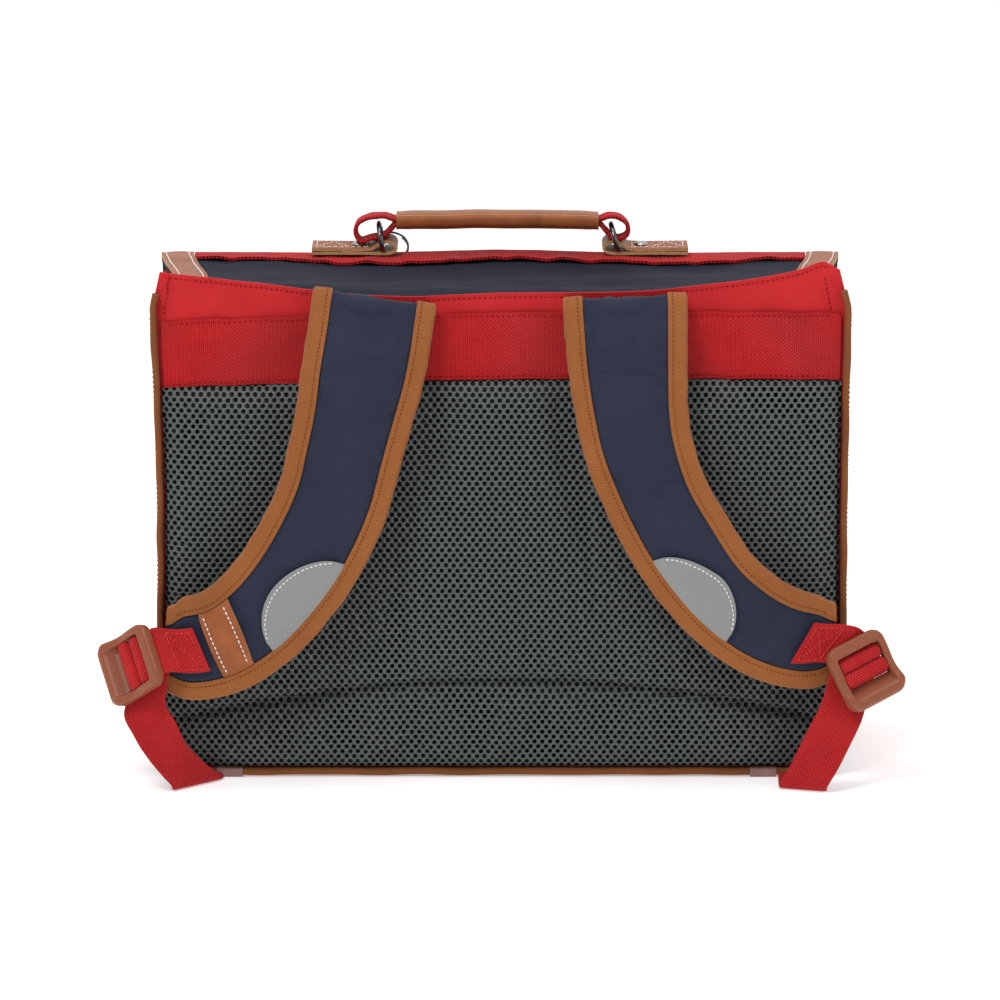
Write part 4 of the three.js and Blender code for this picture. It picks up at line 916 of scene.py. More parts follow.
def base_panel():
    spots, _ = seam_line(BASE_WRAP, BASE_WRAP)
    flat = INSIDE - BASE_LIP
    lip_y = np.linspace(INSIDE, flat, 7)
    y = np.concatenate([lip_y, np.linspace(flat, -flat, 22)[1:-1], -lip_y[::-1]])
    lip = smooth((np.abs(y) - flat) / BASE_LIP)
    x, z = spots[:, :1], spots[:, 2:]
    sunk = BASE_SAG * (1 - lip) * np.clip(1 - (z - BASE_SAG) / CORNER_RADIUS, 0, 1)
    outer = stack(x, y, z - sunk)
    uv = stack(lengths(spots)[:, None], y)
    wall("base_panel_cloth", outer, outer + ways_up(outer) * BASE_WALL, BLACK, uv, node="base_panel")


# Back pad: dark foam swollen between its seams, under a net with round holes
PAD_ROWS = 84
PAD_COLUMNS = 132
PAD_ACROSS = np.sin(np.linspace(-1, 1, PAD_COLUMNS) * 1.35) / math.sin(1.35)  # closer towards the sides


def pad_foam():
    """The foam. Gives how far the swelling moved each point of its face, in millimetres."""
    share = np.linspace(0, 1, PAD_ROWS)[:, None]
    z = mix(PAD_LOW, pad_top(PAD_ACROSS), share)
    flat = panel_spot(PAD_ACROSS, z - BASE_SAG, PAD_INSET, BACK_Y)
    back = flat + AWAY * TOUCH_GAP
    face = back + AWAY * np.maximum(pad_height(PAD_ACROSS, z) - NET_DEPTH, 0.8)[..., None]
    foam = wall("back_pad_foam", face, back, FOAM, flat[..., ::2], node="back_pad")
    before = spots_of(foam.data)
    creased = np.abs(z - crease_at(PAD_ACROSS)) < CREASE_SEWN
    sewn = creased | (np.abs(share - 0.5) > 0.48) | (np.abs(PAD_ACROSS) > 0.97)
    swell(foam, np.concatenate([sewn.ravel(), np.ones(sewn.size, bool)]), cap=1.8, pressure=3.0, bend=0.2)
    return (spots_of(foam.data) - before)[: sewn.size, 1].reshape(sewn.shape) / MM


def moved_at(moved, x, z):
    """The foam's movement read at spots of the pad."""
    top = pad_top(np.clip(x / (BODY_WIDTH / 2), -1, 1))
    row = np.clip((z - PAD_LOW) / (top - PAD_LOW), 0, 1) * (PAD_ROWS - 1)
    half = side_at(x, z - BASE_SAG, PAD_INSET)
    column = np.interp(np.clip(x / half, -1, 1), PAD_ACROSS, np.arange(PAD_COLUMNS))
    r = np.minimum(row.astype(int), PAD_ROWS - 2)
    c = np.minimum(column.astype(int), PAD_COLUMNS - 2)
    low = mix(moved[r, c], moved[r, c + 1], column - c)
    high = mix(moved[r + 1, c], moved[r + 1, c + 1], column - c)
    return mix(low, high, row - r)


def six_corners(reach, point, shoulder):
    right = [(reach, shoulder), (reach, -shoulder)]
    left = [(-reach, -shoulder), (-reach, shoulder)]
    return np.array([(0, point), *right, (0, -point), *left])


def pad_net(moved):
    """A hexagon of yarn round each hole, on the swollen foam."""
    centres = []
    for row in range(int(BACK_HEIGHT / NET_ROW)):
        x = np.arange(-BODY_WIDTH / 2, BODY_WIDTH / 2, NET_PITCH) + (NET_PITCH / 2 if row % 2 else 0)
        centres.append(stack(x, PAD_LOW + 1.2 + row * NET_ROW))
    centres = np.concatenate(centres)
    x, z = centres.T
    inside = np.abs(x) < side_at(x, z - BASE_SAG, PAD_INSET) - 0.4
    centres = centres[inside & (z < pad_top(x / (BODY_WIDTH / 2)) + 1.0)]
    wobble = 0.16 * stack(ripple(centres, 7, 91), ripple(centres, 7, 92))[:, None]
    cell = six_corners(NET_PITCH / 2, 2 / 3 * NET_ROW, NET_ROW / 3)
    hole = six_corners(HOLE_REACH, HOLE_POINT, HOLE_SHOULDER)
    rings = []
    for shape, sunk, moved_by in ((cell, 0, 0), (hole, 0.6, wobble), (hole * 0.92, NET_DEPTH, wobble)):
        x, z = np.moveaxis(centres[:, None] + shape + moved_by, -1, 0)
        limit = side_at(x, z - BASE_SAG, PAD_INSET)
        x = np.clip(x, -limit, limit)
        z = np.clip(z, PAD_LOW, pad_top(x / (BODY_WIDTH / 2)) + 0.3)
        height = pad_height(x / np.maximum(side_at(x, z - BASE_SAG, PAD_INSET), 1), z)
        y = BACK_Y - TOUCH_GAP - height + sunk + np.minimum(moved_at(moved, x, z), 0.3)
        rings.append(stack(x, y, z))
    cells = rings[0].reshape(-1, 3)
    _, first, same = np.unique(np.round(cells, 2), axis=0, return_index=True, return_inverse=True)
    holes = np.stack(rings[1:], axis=1)
    numbers = len(first) + np.arange(holes.size // 3).reshape(holes.shape[:3])
    numbers = np.concatenate([same.reshape(-1, 1, 6), numbers], axis=1)
    after = np.roll(numbers, -1, axis=2)
    faces = np.stack([numbers[:, :-1], after[:, :-1], after[:, 1:], numbers[:, 1:]], axis=-1)
    points = np.concatenate([cells[first], holes.reshape(-1, 3)])
    make("back_pad_net", points, faces.reshape(-1, 4).tolist(), NET, sharp=None, turn=False)


def upper_webbing():
    across = np.linspace(-1, 1, 161)[:, None]
    side = np.linspace(-1, 1, 21)
    offset = side * BAND_WIDTH / 2
    spots = panel_spot(across, band_line(across) + offset - BASE_SAG, BAND_INSET, BACK_Y)
    wave = 0.5 * ripple(stack(spots[..., 0], 0.5 * spots[..., 2]), 52, 101) + 0.4
    low = TOUCH_GAP + 0.2 + np.maximum(wave, 0) * (1 - 0.9 * np.abs(side) ** 6)
    sewn = 0.3 * hump(np.abs(side) - 0.9, 0.025)
    spots[..., 2] += 0.35 * ripple(across * 198, 30, 102)[:, None]
    back = spots + AWAY * low[..., None]
    face = back + AWAY * (BAND_WALL - sewn)[:, None]
    wall("upper_webbing_cloth", face, back, RED_WEBBING, stack(offset, spots[..., 0]), node="upper_webbing")
    for column in (1, 19):
        stitch("red", face[2:-2, column], AWAY, 2.4, 0.6, seed=column)


# Outer run of each strap: distance from the middle in half body widths, height in back heights,
# distance out in STRAP_OUT and width in STRAP_WIDTH
STRAP_ROWS = {
    "left": (
        (-0.361, 0.934, 0.37, 1), (-0.376, 0.866, 0.53, 1), (-0.394, 0.802, 0.66, 0.99),
        (-0.417, 0.728, 0.78, 0.94), (-0.441, 0.661, 0.87, 0.92), (-0.475, 0.574, 0.94, 0.91),
        (-0.545, 0.473, 0.98, 0.91), (-0.627, 0.391, 0.96, 0.89), (-0.714, 0.329, 0.92, 0.88),
        (-0.799, 0.291, 0.86, 0.87), (-0.876, 0.277, 0.8, 0.87), (-0.92, 0.275, 0.76, 0.83),
        (-0.958, 0.277, 0.73, 0.62),
    ),
    "right": (
        (0.357, 0.934, 0.37, 1), (0.364, 0.82, 0.61, 0.96), (0.375, 0.74, 0.76, 0.91),
        (0.394, 0.673, 0.85, 0.88), (0.448, 0.574, 0.94, 0.84), (0.516, 0.491, 0.98, 0.85),
        (0.579, 0.427, 0.97, 0.83), (0.627, 0.388, 0.96, 0.82), (0.687, 0.351, 0.93, 0.82),
        (0.75, 0.321, 0.89, 0.82), (0.81, 0.302, 0.85, 0.81), (0.866, 0.292, 0.81, 0.8),
        (0.92, 0.29, 0.77, 0.76), (0.962, 0.291, 0.74, 0.58),
    ),
}


def strap_run(side, shares):
    """Outer run of a strap at shares of its rows: spots, ways across and out, half widths, plumpness."""
    rows = STRAP_ROWS[side]
    points = [(x * BODY_WIDTH / 2, BACK_Y - out * STRAP_OUT, up * BACK_HEIGHT) for x, up, out, _ in rows]
    at = spline(points, shares)
    ahead = unit(spline(points, np.minimum(shares + 1e-4, 1)) - spline(points, np.maximum(shares - 1e-4, 0)))
    across = unit(np.cross(AWAY, ahead))
    face = unit(np.cross(ahead, across))
    wide = spline([(i, row[3]) for i, row in enumerate(rows)], shares)[:, 1]
    plump = mix(STRAP_EDGE_HALF + TOUCH_GAP + TAPE_WALL, STRAP_HALF_THICK, smooth(shares / 0.12))
    return at, across, face, STRAP_WIDTH / 2 * wide, plump


def strap_line(side):
    """The whole strap, at even steps: up from the band, over the fold and down the outer run."""
    at, across, face, half, plump = strap_run(side, np.linspace(0, 1, 600))
    angle = np.linspace(-math.pi, 0, 40, endpoint=False)[:, None]
    turned = AWAY * np.cos(angle) + np.cross(across[0], AWAY) * np.sin(angle)
    fold = at[0] + STRAP_FOLD * (turned - AWAY)
    down = unit(np.cross(turned[0], across[0]))
    leg = fold[0] + down * np.linspace(STRAP_INNER_LEG, 0, 12, endpoint=False)[:, None]
    before = lambda line: np.concatenate([np.repeat(line[:1], len(leg) + len(fold), 0), line])
    at = np.concatenate([leg, fold, at])
    face = np.concatenate([np.repeat(turned[:1], len(leg), 0), turned, face])
    at, across, face, sizes = resample(2.6, at, before(across), face, before(stack(half, plump)))
    window = np.hanning(11)
    half = np.convolve(np.pad(sizes[:, 0], 4, "edge"), window[1:-1] / window.sum(), "valid")
    return at, unit(across), unit(face), half, sizes[:, 1]


def crown(distance, reach):
    """Height of a strap's round face, from 0 at its seam to 1 in the middle."""
    return np.sqrt(np.clip(1 - np.abs(distance / reach) ** STRAP_ROUNDNESS, 0, 1))


def strap_pad(side, at, across, face, half, plump):
    """Cloth and foam, plumped up between the sewn edges."""
    seam = (half - TAPE_WIDTH - TOUCH_GAP)[:, None]
    shares = np.array([-1, -0.93, -0.8, -0.6, -0.4, -0.2, 0, 0.2, 0.4, 0.6, 0.8, 0.93, 1])
    edge = mix(seam, (half - TAPE_WALL - TOUCH_GAP)[:, None], np.array([1.0, 0.6, 0.25]))
    offset = np.concatenate([-edge, seam * shares, edge[:, ::-1]], axis=1)
    thick = STRAP_EDGE_HALF + 0.2 + (plump[:, None] - STRAP_EDGE_HALF - 0.6) * crown(shares, 1)
    thick = np.pad(thick, ((0, 0), (3, 3)), constant_values=STRAP_EDGE_HALF)
    base = at[:, None] + across[:, None] * offset[..., None]
    rise = face[:, None] * thick[..., None]
    uv = stack(lengths(at)[:, None], offset)
    node = f"shoulder_strap_{side}"
    pad = wall(f"{node}_pad", base + rise, base - rise, NAVY, uv, node=node, sharp=60)
    sewn = np.ones(offset.shape, bool)
    sewn[3:-3, 4:-4] = False
    swell(pad, np.concatenate([sewn.ravel()] * 2), cap=1.1, pressure=6.0, bend=0.15)


def strap_tapes(side, at, across, face, half):
    """Tape folded round both edges of a strap."""
    low = STRAP_EDGE_HALF + 2 * TOUCH_GAP
    high = low + TAPE_WALL
    section = [
        (TAPE_WIDTH, low + 0.35), (TAPE_WIDTH - 0.25, high), (TAPE_WIDTH - 1.2, high + 0.12),
        (6, high - 0.05), (3.2, high - 0.25), (2.9, high - 0.3), (1.5, high - 0.1), (0.35, 0.72 * high),
        (0, 0.3 * high), (0, -0.3 * high), (0.35, -0.72 * high), (1.5, -high), (TAPE_WIDTH - 0.3, -high),
        (TAPE_WIDTH, -low), (2, -low), (1.2, 0), (2, low), (TAPE_WIDTH - 1, low),
    ]
    soft = 0.22 * ripple(lengths(at)[:, None], 24, 111)
    for edge, sign in zip(("outer", "inner") if side == "left" else ("inner", "outer"), (-1, 1)):
        place = lambda inward, out: sign * (half - inward + soft * (inward < 6))
        name = f"strap_tape_{side}_{edge}"
        section_tube(name, at, across, face, section, place, TAPE, node=f"strap_binding_{side}_{edge}")
        line = at + across * (sign * (half - TAPE_WIDTH + 2.9))[:, None] + face * (high + 0.05)
        stitch("tan", line[2:-2], face[2:-2], 1.9, 0.45, radius=0.36, seed=13)


def film(side, inward):
    """Half an ellipse of reflective film along the strap's inner tape, sewn along its curve."""
    share = np.linspace(0, 1, 61)
    at, across, face, half, plump = strap_run(side, mix(*REFLECTOR_SPANS[side], share))
    depth = np.maximum(REFLECTOR_DEPTH * np.sqrt(np.clip(1 - (2 * share - 1) ** 2, 0, 1)), 0.3)
    steps = np.linspace(0, 1, 13)
    seam = (half - TAPE_WIDTH)[:, None]
    place = seam + 0.6 - depth[:, None] * steps
    rise = STRAP_EDGE_HALF + 1.15 + (plump[:, None] - STRAP_EDGE_HALF - 0.2) * crown(place, seam)
    bottom = at[:, None] + across[:, None] * (inward * place)[..., None] + face[:, None] * rise[..., None]
    top = bottom + face[:, None] * 0.5
    uv = stack(lengths(at)[:, None], place)
    wall(f"reflector_{side}_film", top, bottom, FILM, uv, node=f"reflector_{side}")
    cut = 1 - 2.6 / np.maximum(depth, 2.7)
    line = np.array([read(at_edge, steps, row) for at_edge, row in zip(cut, top)])
    stitch("white", line[2:-2], face[2:-2], 2.2, 0.5, radius=0.33, seed=17)


# Where the patch starts and ends at the strap's outer and inner edge
PATCH_SPANS = ((0.664, 0.785), (0.708, 0.768))


def patch():
    """Bare leather patch across the left strap, sewn down along its two long edges."""
    share = np.linspace(0, 1, 26)
    side = np.linspace(-1, 1, 25)
    columns, faces = [], []
    for each in side:
        span = [mix(outer, inner, (each + 1) / 2) for outer, inner in zip(*PATCH_SPANS)]
        at, across, face, half, plump = strap_run("left", mix(*span, share))
        rise = STRAP_EDGE_HALF + 1.1 + (plump - STRAP_EDGE_HALF) * crown(each, 1)
        columns.append(at + across * (each * (half - TAPE_WIDTH - 0.2))[:, None] + face * rise[:, None])
        faces.append(face)
    bottom, face = np.stack(columns, axis=1), np.stack(faces, axis=1)
    groove = 0.25 * (hump(share - 0.16, 0.05) + hump(share - 0.84, 0.05))
    top = bottom + face * (PATCH_WALL - groove)[:, None, None]
    uv = stack(share[:, None] * 14, side * 23)
    wall("strap_patch_leather", top, bottom, LEATHER, uv, RAW_EDGE, node="strap_patch")
    for row in (4, 21):
        stitch("white", top[row, 1:-1], face[row, 1:-1], 2.4, 0.5, radius=0.4, seed=row)


def shoulder_straps():
    for side, sign in SIDES:
        at, across, face, half, plump = strap_line(side)
        strap_pad(side, at, across, face, half, plump)
        strap_tapes(side, at, across, face, half)
        film(side, -sign)
    patch()


# Buckles: the spot beside the body (beyond, out, up), the way of the bars and the way out of the face
SEATS = {
    "left": ((11, 39, 72), (0.305, -0.47, -0.83), (-0.64, -0.74, 0.18)),
    "right": ((8.5, 44, 70), (0.898, 0, 0.439), (0.35, -0.86, 0.3)),
}
WINDOW = (-12.5, 6.4, 14.3)  # the opening, from and to along the run, and half across it
UNDERSIDE = -4.1


def beside_body(sign, beyond, out, up):
    return np.array([sign * (BODY_WIDTH / 2 + beyond), BACK_Y - out, up])


class Seat:
    """The frame of a buckle: run towards the thumb lip, bars along its bars, up out of its face."""

    def __init__(self, side, sign):
        spot, bars, facing = SEATS[side]
        self.at = beside_body(sign, *spot)
        self.up = unit(np.array(facing))
        self.bars = unit(bars - self.up * (bars @ self.up))
        self.run = unit(np.cross(self.bars, self.up))

    def spot(self, forward, across, out):
        return self.at + stack(forward, across, out) @ np.array([self.run, self.bars, self.up])


def rounded(low, high, half, radius):
    """A rounded rectangle from low to high along the run and half to each side, with even counts."""
    corners = []
    for turn, corner in enumerate(((high, half), (low, half), (low, -half), (high, -half))):
        angle = (turn + np.linspace(0, 1, 8)) * math.pi / 2
        corners.append(corner - radius * np.sign(corner) + radius * stack(np.cos(angle), np.sin(angle)))
    line = []
    for here, after in zip(corners, corners[1:] + corners[:1]):
        line += [here, mix(here[-1], after[0], np.linspace(0, 1, 12)[1:-1, None])]
    return np.concatenate(line)


def rim_height(forward, aside):
    """Top of the buckle's rim: straight at the bar, dipping along the sides, high at the thumb lip."""
    walls = 2.75 - 1.5 * hump(forward - 2.0, 6.5) + 2.6 * smooth((forward - 5) / 9)
    scoop = -2.6 + 7.6 * smooth((forward - 6.4) / 8.6) ** 1.3
    shown = mix(scoop, walls, smooth((np.abs(aside) - 12.8) / 2.4))
    return np.where(forward > WINDOW[1] - 0.01, shown, walls)


def buckles():
    length, width = BUCKLE_LENGTH / 2, BUCKLE_WIDTH / 2
    outer = rounded(-length, length, width, 7.0)
    inner = rounded(*WINDOW, 1.6)
    gap = np.linalg.norm(outer - inner, axis=1)
    soft = 2.2 + 1.6 * smooth((outer[:, 0] - 12) / 6)
    section = []
    for share in (0, 0.015, 0.05, 0.1, 0.17, 0.27, 0.4, 0.55, 0.7, 0.82, 0.9, 0.95, 0.985, 1):
        spot = mix(outer, inner, share).T
        drop = soft * (1 - dome(share * gap / soft)) + 0.9 * (1 - dome((1 - share) * gap / 0.9))
        section.append((*spot, rim_height(*spot) - drop))
    for share, rise in ((1, -3.3), (0.93, -3.9), (0.5, UNDERSIDE), (0.1, -3.6), (0.02, -2.8), (0, -1.9)):
        section.append((*mix(outer, inner, share).T, rise))
    for side, sign in SIDES:
        seat = Seat(side, sign)
        rings = np.stack([seat.spot(*spot) for spot in section], axis=1)
        tube(f"buckle_{side}_frame", rings, PLASTIC, closed=True, node=f"buckle_{side}", sharp=60)
        for name, bar_at in (("tab", TAB_BAR_AT), ("webbing", WEBBING_BAR_AT)):
            bar = seat.spot(bar_at, np.linspace(2.5 - width, width - 2.5, 8), -BAR_DROP)
            wire(f"buckle_{side}_{name}_bar", bar, BAR_RADIUS, PLASTIC, seat.up)


def over_bar(seat, outline):
    """Stations over a bar through spots given as forward and out."""
    ahead = unit(np.gradient(np.array(outline, float), axis=0))
    return [
        (seat.spot(forward, 0, out), seat.bars, seat.up * f - seat.run * o, 1.0)
        for (forward, out), (f, o) in zip(outline, ahead)
    ]


def squared(stations, step=1.6):
    """Even stations along a smooth line through the given ones, their ways square to each other."""
    at, across, face, wide = (np.array([s[k] for s in stations], float) for k in range(4))
    dense = np.linspace(0, 1, 30 * len(stations))
    lines = [spline(line, dense) for line in (at, unit(across), unit(face), wide[:, None])]
    at, across, face, wide = resample(step, *lines)
    across = unit(across)
    face = unit(face - across * np.sum(face * across, axis=1, keepdims=True))
    return at, across, face, wide[:, 0]


# The webbing's middle line over each bar, as forward and out
TAB_LOOP = (
    (-14.5, -5.1), (-12.2, -3.4), (-10.9, -1.0), (-9.4, 0.55), (-7.4, 1.0),
    (-5.4, 0.6), (-4.2, -0.9), (-3.9, -3), (-4.4, -5),
)
LOWER_LOOP = (
    (-3.0, -5.2), (-2.7, -3), (-2.3, -0.7), (-0.9, 0.75), (1.4, 1.05),
    (3.6, 0.8), (5.0, -0.6), (5.5, -2.8), (5.5, -5),
)
# How far the tab has turned to the bar, and its way along the bar, where it goes under the buckle
TAB_SKEW = {"left": (0.7, -1.0), "right": (0.35, -3.5)}
# Where on the strap the tab starts, and which way it lies across
TAB_STARTS = {"left": (0.8, (0.382, 0, -0.924)), "right": (0.835, (0.497, 0, 0.868))}


def strap_tabs():
    """Webbing tabs with crossed stitching, from the strap's face round the buckle's first bar."""
    for side, sign in SIDES:
        seat = Seat(side, sign)
        share, way = TAB_STARTS[side]
        turned = lambda turn: mix(np.array(way), seat.bars, turn)
        stations = []
        for ahead in (0, 0.035, 0.07, 0.105):
            at, _, face, _, plump = (each[0] for each in strap_run(side, np.array([share + ahead])))
            stations.append((at + face * (plump + 1.6 + TAB_WALL / 2), turned(2 * ahead), face, 1.0))
        skew, aside = TAB_SKEW[side]
        under = seat.spot(1 - BUCKLE_LENGTH / 2, aside, UNDERSIDE - TOUCH_GAP - TAB_WALL / 2 - 0.8)
        stations.append((under, turned(skew), seat.up, 0.96))
        at, across, face, _ = squared(stations + over_bar(seat, TAB_LOOP))
        wave = lambda run, offset: 0.25 * ripple(stack(run, offset), 14, 121) * smooth((30 - run) / 20)
        node = f"strap_tab_{side}"
        thick = TAB_WALL + 0.2
        ribbon(f"{node}_webbing", at, across, face, TAB_WIDTH, thick, RED_WEBBING, wave=wave, node=node)
        sew_cross(at, across, face)


def sew_cross(at, across, face):
    """A box of stitches with a cross in it on the sewn end of a tab."""
    run = lengths(at)
    near, far, reach = 2.6, 17.0, TAB_WIDTH / 2 - 2.4
    a, b, c, d = (near, -reach), (far, -reach), (far, reach), (near, reach)
    corners = (a, b, c, d, a, c, b, d)
    share = np.linspace(0, 1, 9)
    for here, after in zip(corners, corners[1:]):
        along = mix(here[0], after[0], share)
        aside = mix(here[1], after[1], share)[:, None]
        out = read(along, run, face)
        line = read(along, run, at) + read(along, run, across) * aside + out * (TAB_WALL / 2 + 0.25)
        stitch("bright", line, out, 2.2, 0.7, radius=0.36, seed=int(here[0] + after[1] + 40))


# Which way the webbing heads along the bars and how far it turns, its spots beside the body
# where it leaves the buckle, drops and meets the ground, its way across there and its width there
LOWER_ROUTES = {
    "left": (1, 103, (3, 39, 46), (-8, 42, 25), (-25, 32, 1.9), (0.68, 0.73, 0), 1.5),
    "right": (-1, 126, (-5, 44, 46), (-13.5, 45, 28), (-26, 43, 1.9), (0.954, -0.3, 0), 1.12),
}
LOWER_SEAM = (-26, BINDING_STAND + 1.1, BASE_SAG)


def lower_straps():
    """Webbing over each buckle's second bar, folded behind it and led down into the base's corner."""
    sideways, down = np.array([1.0, 0, 0]), np.array([0, 0, -1.0])
    for side, sign in SIDES:
        seat = Seat(side, sign)
        heading, turn, *spots, end_across, end_wide = LOWER_ROUTES[side]
        leave, drop, ground, seam = (beside_body(sign, *spot) for spot in (*spots, LOWER_SEAM))
        angle = math.radians(turn)
        plane = lambda forward, along: unit(seat.run * forward + seat.bars * heading * along)
        fold_line = plane(-math.cos(angle) - 1, math.sin(angle)) * heading
        turned = plane(-heading * math.sin(angle), -heading * math.cos(angle))
        radius = BAR_RADIUS + TOUCH_GAP + WEBBING_WALL / 2
        fold = WEBBING_BAR_AT + radius - 2.5 - WEBBING_WIDTH / 2 / math.tan(angle / 2)
        behind = seat.spot(fold, 0, -BAR_DROP - radius - TAB_WALL - 5.0)
        way = lambda share: mix(turned, np.array(end_across), share)
        # Over the bar, as far as it shows
        loop = squared(over_bar(seat, LOWER_LOOP), 1.0)[:3]
        ribbon(f"lower_webbing_{side}_loop", *loop, LOOP_WIDTH, WEBBING_WALL, RED_WEBBING)
        # From behind the buckle to the ground fold and in to the base
        stations = [
            (behind, mix(fold_line, turned, 0.5), seat.up, (1 + 1 / math.sin(angle / 2)) / 2),
            (mix(behind, leave, 0.5), way(0.2), mix(seat.up, AWAY, 0.5), 1.0),
            (leave, way(0.4), AWAY, 1.0),
            (mix(leave, drop, 0.5) + AWAY, way(0.6), AWAY, 1.03),
            (drop, way(0.75), AWAY, 1.06),
            (mix(drop, ground, 0.55) + 1.2 * AWAY, way(0.9), AWAY, mix(1.06, end_wide, 0.5)),
            (ground + [0, -0.6, 1.4], way(1), mix(AWAY, down, 0.5), end_wide),
            (ground + [0, 1.5, -0.6], way(1), mix(AWAY, down, 0.95), end_wide),
            (mix(ground, seam, 0.5) + 0.4 * down, mix(way(1), sideways, 0.5), down, mix(end_wide, 1, 0.5)),
            (seam, sideways, down, 1.0),
        ]
        at, across, face, wide = squared(stations)
        at[:, 2] = np.maximum(at[:, 2], 1.1)
        ends = lambda run: smooth(run / 20) * smooth((95 - run) / 30)
        wave = lambda run, offset: 0.5 * ripple(stack(run, 0.4 * offset), 30, 131) * ends(run)
        node = f"lower_strap_{side}"
        width = WEBBING_WIDTH * wide
        ribbon(f"{node}_webbing", at, across, face, width, WEBBING_WALL, RED_WEBBING, wave=wave, node=node)


# Handle
RIDGE_SEAT = FLAP_TOP + 0.5 + TOUCH_GAP + BAND_WALL + TOUCH_GAP
RING_FOOT = RIDGE_SEAT + LEATHER_WALL + TOUCH_GAP + RING_WIRE / 2
# The webbing through each ring, as distances beyond the grip's end and above its line
LOOP_ROWS = {
    "left": (
        (-7, -1), (0, -1.1), (3, -4.2), (8, -8.6), (15, -9.9), (21, -11.5),
        (24, -7), (22.5, -1), (16, 2.4), (7, 3), (0, 1.1), (-7, 1),
    ),
    "right": (
        (-7, -1), (0, -1.1), (3.5, -4.6), (8, -9), (13, -9.8), (17, -7.5),
        (17, -2), (12, 2.4), (6, 3), (0, 1.1), (-7, 1),
    ),
}
# The leather tab's middle line, as shares of its length from the ring and of its wall
TAB_ROWS = (
    (1, 0.5), (0.3, 0.5), (-0.12, 0.6), (-0.193, 1.6), (-0.18, 3), (-0.1, 4),
    (0, 3.9), (0.08, 3), (0.14, 2), (0.18, 1.72), (1, 1.72),
)


def power(wave, exponent):
    """A sine or cosine raised to a power, with its sign kept."""
    return np.sign(wave) * np.abs(wave) ** exponent


def grip():
    """Leather rolled into a tube, its raw edge along the seam."""
    x = np.linspace(-GRIP_LENGTH / 2, GRIP_LENGTH / 2, 90)[:, None]
    turn = np.concatenate([np.linspace(0, 2.28, 20), np.linspace(2.35, 2 * math.pi, 30, endpoint=False)])
    dip = 0.9 * (x / (GRIP_LENGTH / 2)) ** 2 + 0.25 * ripple(x, 40, 141)[:, None]
    tight = 1 - 0.05 * hump(np.abs(x) - GRIP_LENGTH / 2 + 2, 3)
    seam = 0.4 * hump(turn - 2.45, 0.08)
    shells = []
    for wall_inside in (0, GRIP_WALL):
        y = power(np.cos(turn), 0.55) * (GRIP_WIDTH / 2 - wall_inside) * tight
        z = power(np.sin(turn), 0.75) * (GRIP_HEIGHT / 2 - wall_inside) * tight
        shells.append(stack(GRIP_SHIFT + x, HANDLE_DEPTH + y, GRIP_LINE + z - dip - seam).reshape(-1, 3))
    count, size = len(x), len(turn)
    under = size * count
    faces = grid_faces(count, size, 0, True) + grid_faces(count, size, under, True)
    sheet = len(faces)
    raw = [int(i < sheet // 2 and i % size == 19) for i in range(sheet)]
    for first in (0, (count - 1) * size):
        for c in range(size):
            a, b = first + c, first + (c + 1) % size
            faces.append((a, b, under + b, under + a))
    raw += [1] * (len(faces) - sheet)
    make("handle_grip_leather", np.concatenate(shells), faces, LEATHER, second=RAW_EDGE, second_faces=raw,
         node="handle_grip", sharp=50)


def handle():
    grip()
    for side, sign in SIDES:
        points = [
            (GRIP_SHIFT + sign * (GRIP_LENGTH / 2 + beyond), HANDLE_DEPTH, GRIP_LINE - 0.9 + above)
            for beyond, above in LOOP_ROWS[side]
        ]
        at = resample(1.0, spline(points, np.linspace(0, 1, 300)))[0]
        across = np.broadcast_to(-AWAY, at.shape)
        face = unit(np.cross(unit(np.gradient(at, axis=0)), across))
        wave = lambda run, offset: 0.2 * ripple(stack(run, offset), 12, 151)
        node = "handle_webbing" if side == "left" else None
        name = f"handle_webbing_{side}"
        ribbon(name, at, across, face, HANDLE_WEBBING, 2.5, RED_WEBBING, wave=wave, node=node)
        d_ring(side, sign)
        handle_tab(side, sign)
    split_ring()


def d_ring(side, sign):
    half = (RING_INSIDE + RING_WIRE) / 2
    turn = np.linspace(0, math.pi, 40)
    bow = stack(half * power(np.cos(turn), 0.85), RING_LEG + (RING_HEIGHT - RING_LEG) * np.sin(turn) ** 0.9)
    foot = stack(np.linspace(1.5 - half, half - 1.5, 12), 0)
    corner = np.array([(half, 2.0), (half - 0.4, 0.7), (half - 1.0, 0.1)])
    y, up = np.concatenate([bow, corner * [-1, 1], foot, corner[::-1]]).T
    lean = math.radians(RING_LEAN[side])
    line = stack(up * math.sin(lean), y, up * math.cos(lean))
    line += [sign * RING_SPACING / 2, HANDLE_DEPTH, RING_FOOT]
    across = (math.cos(lean), 0, -math.sin(lean))
    node = f"d_ring_{side}"
    wire(f"{node}_wire", line, RING_WIRE / 2, DARK_METAL, across, closed=True, node=node, sharp=None)


def tilted(spots):
    """Spots of a leather tab with its far side raised."""
    spots = np.array(spots, float)
    spots[..., 2] += TAB_TILT * (spots[..., 1] - HANDLE_DEPTH + HANDLE_TAB_WIDTH / 2)
    return spots


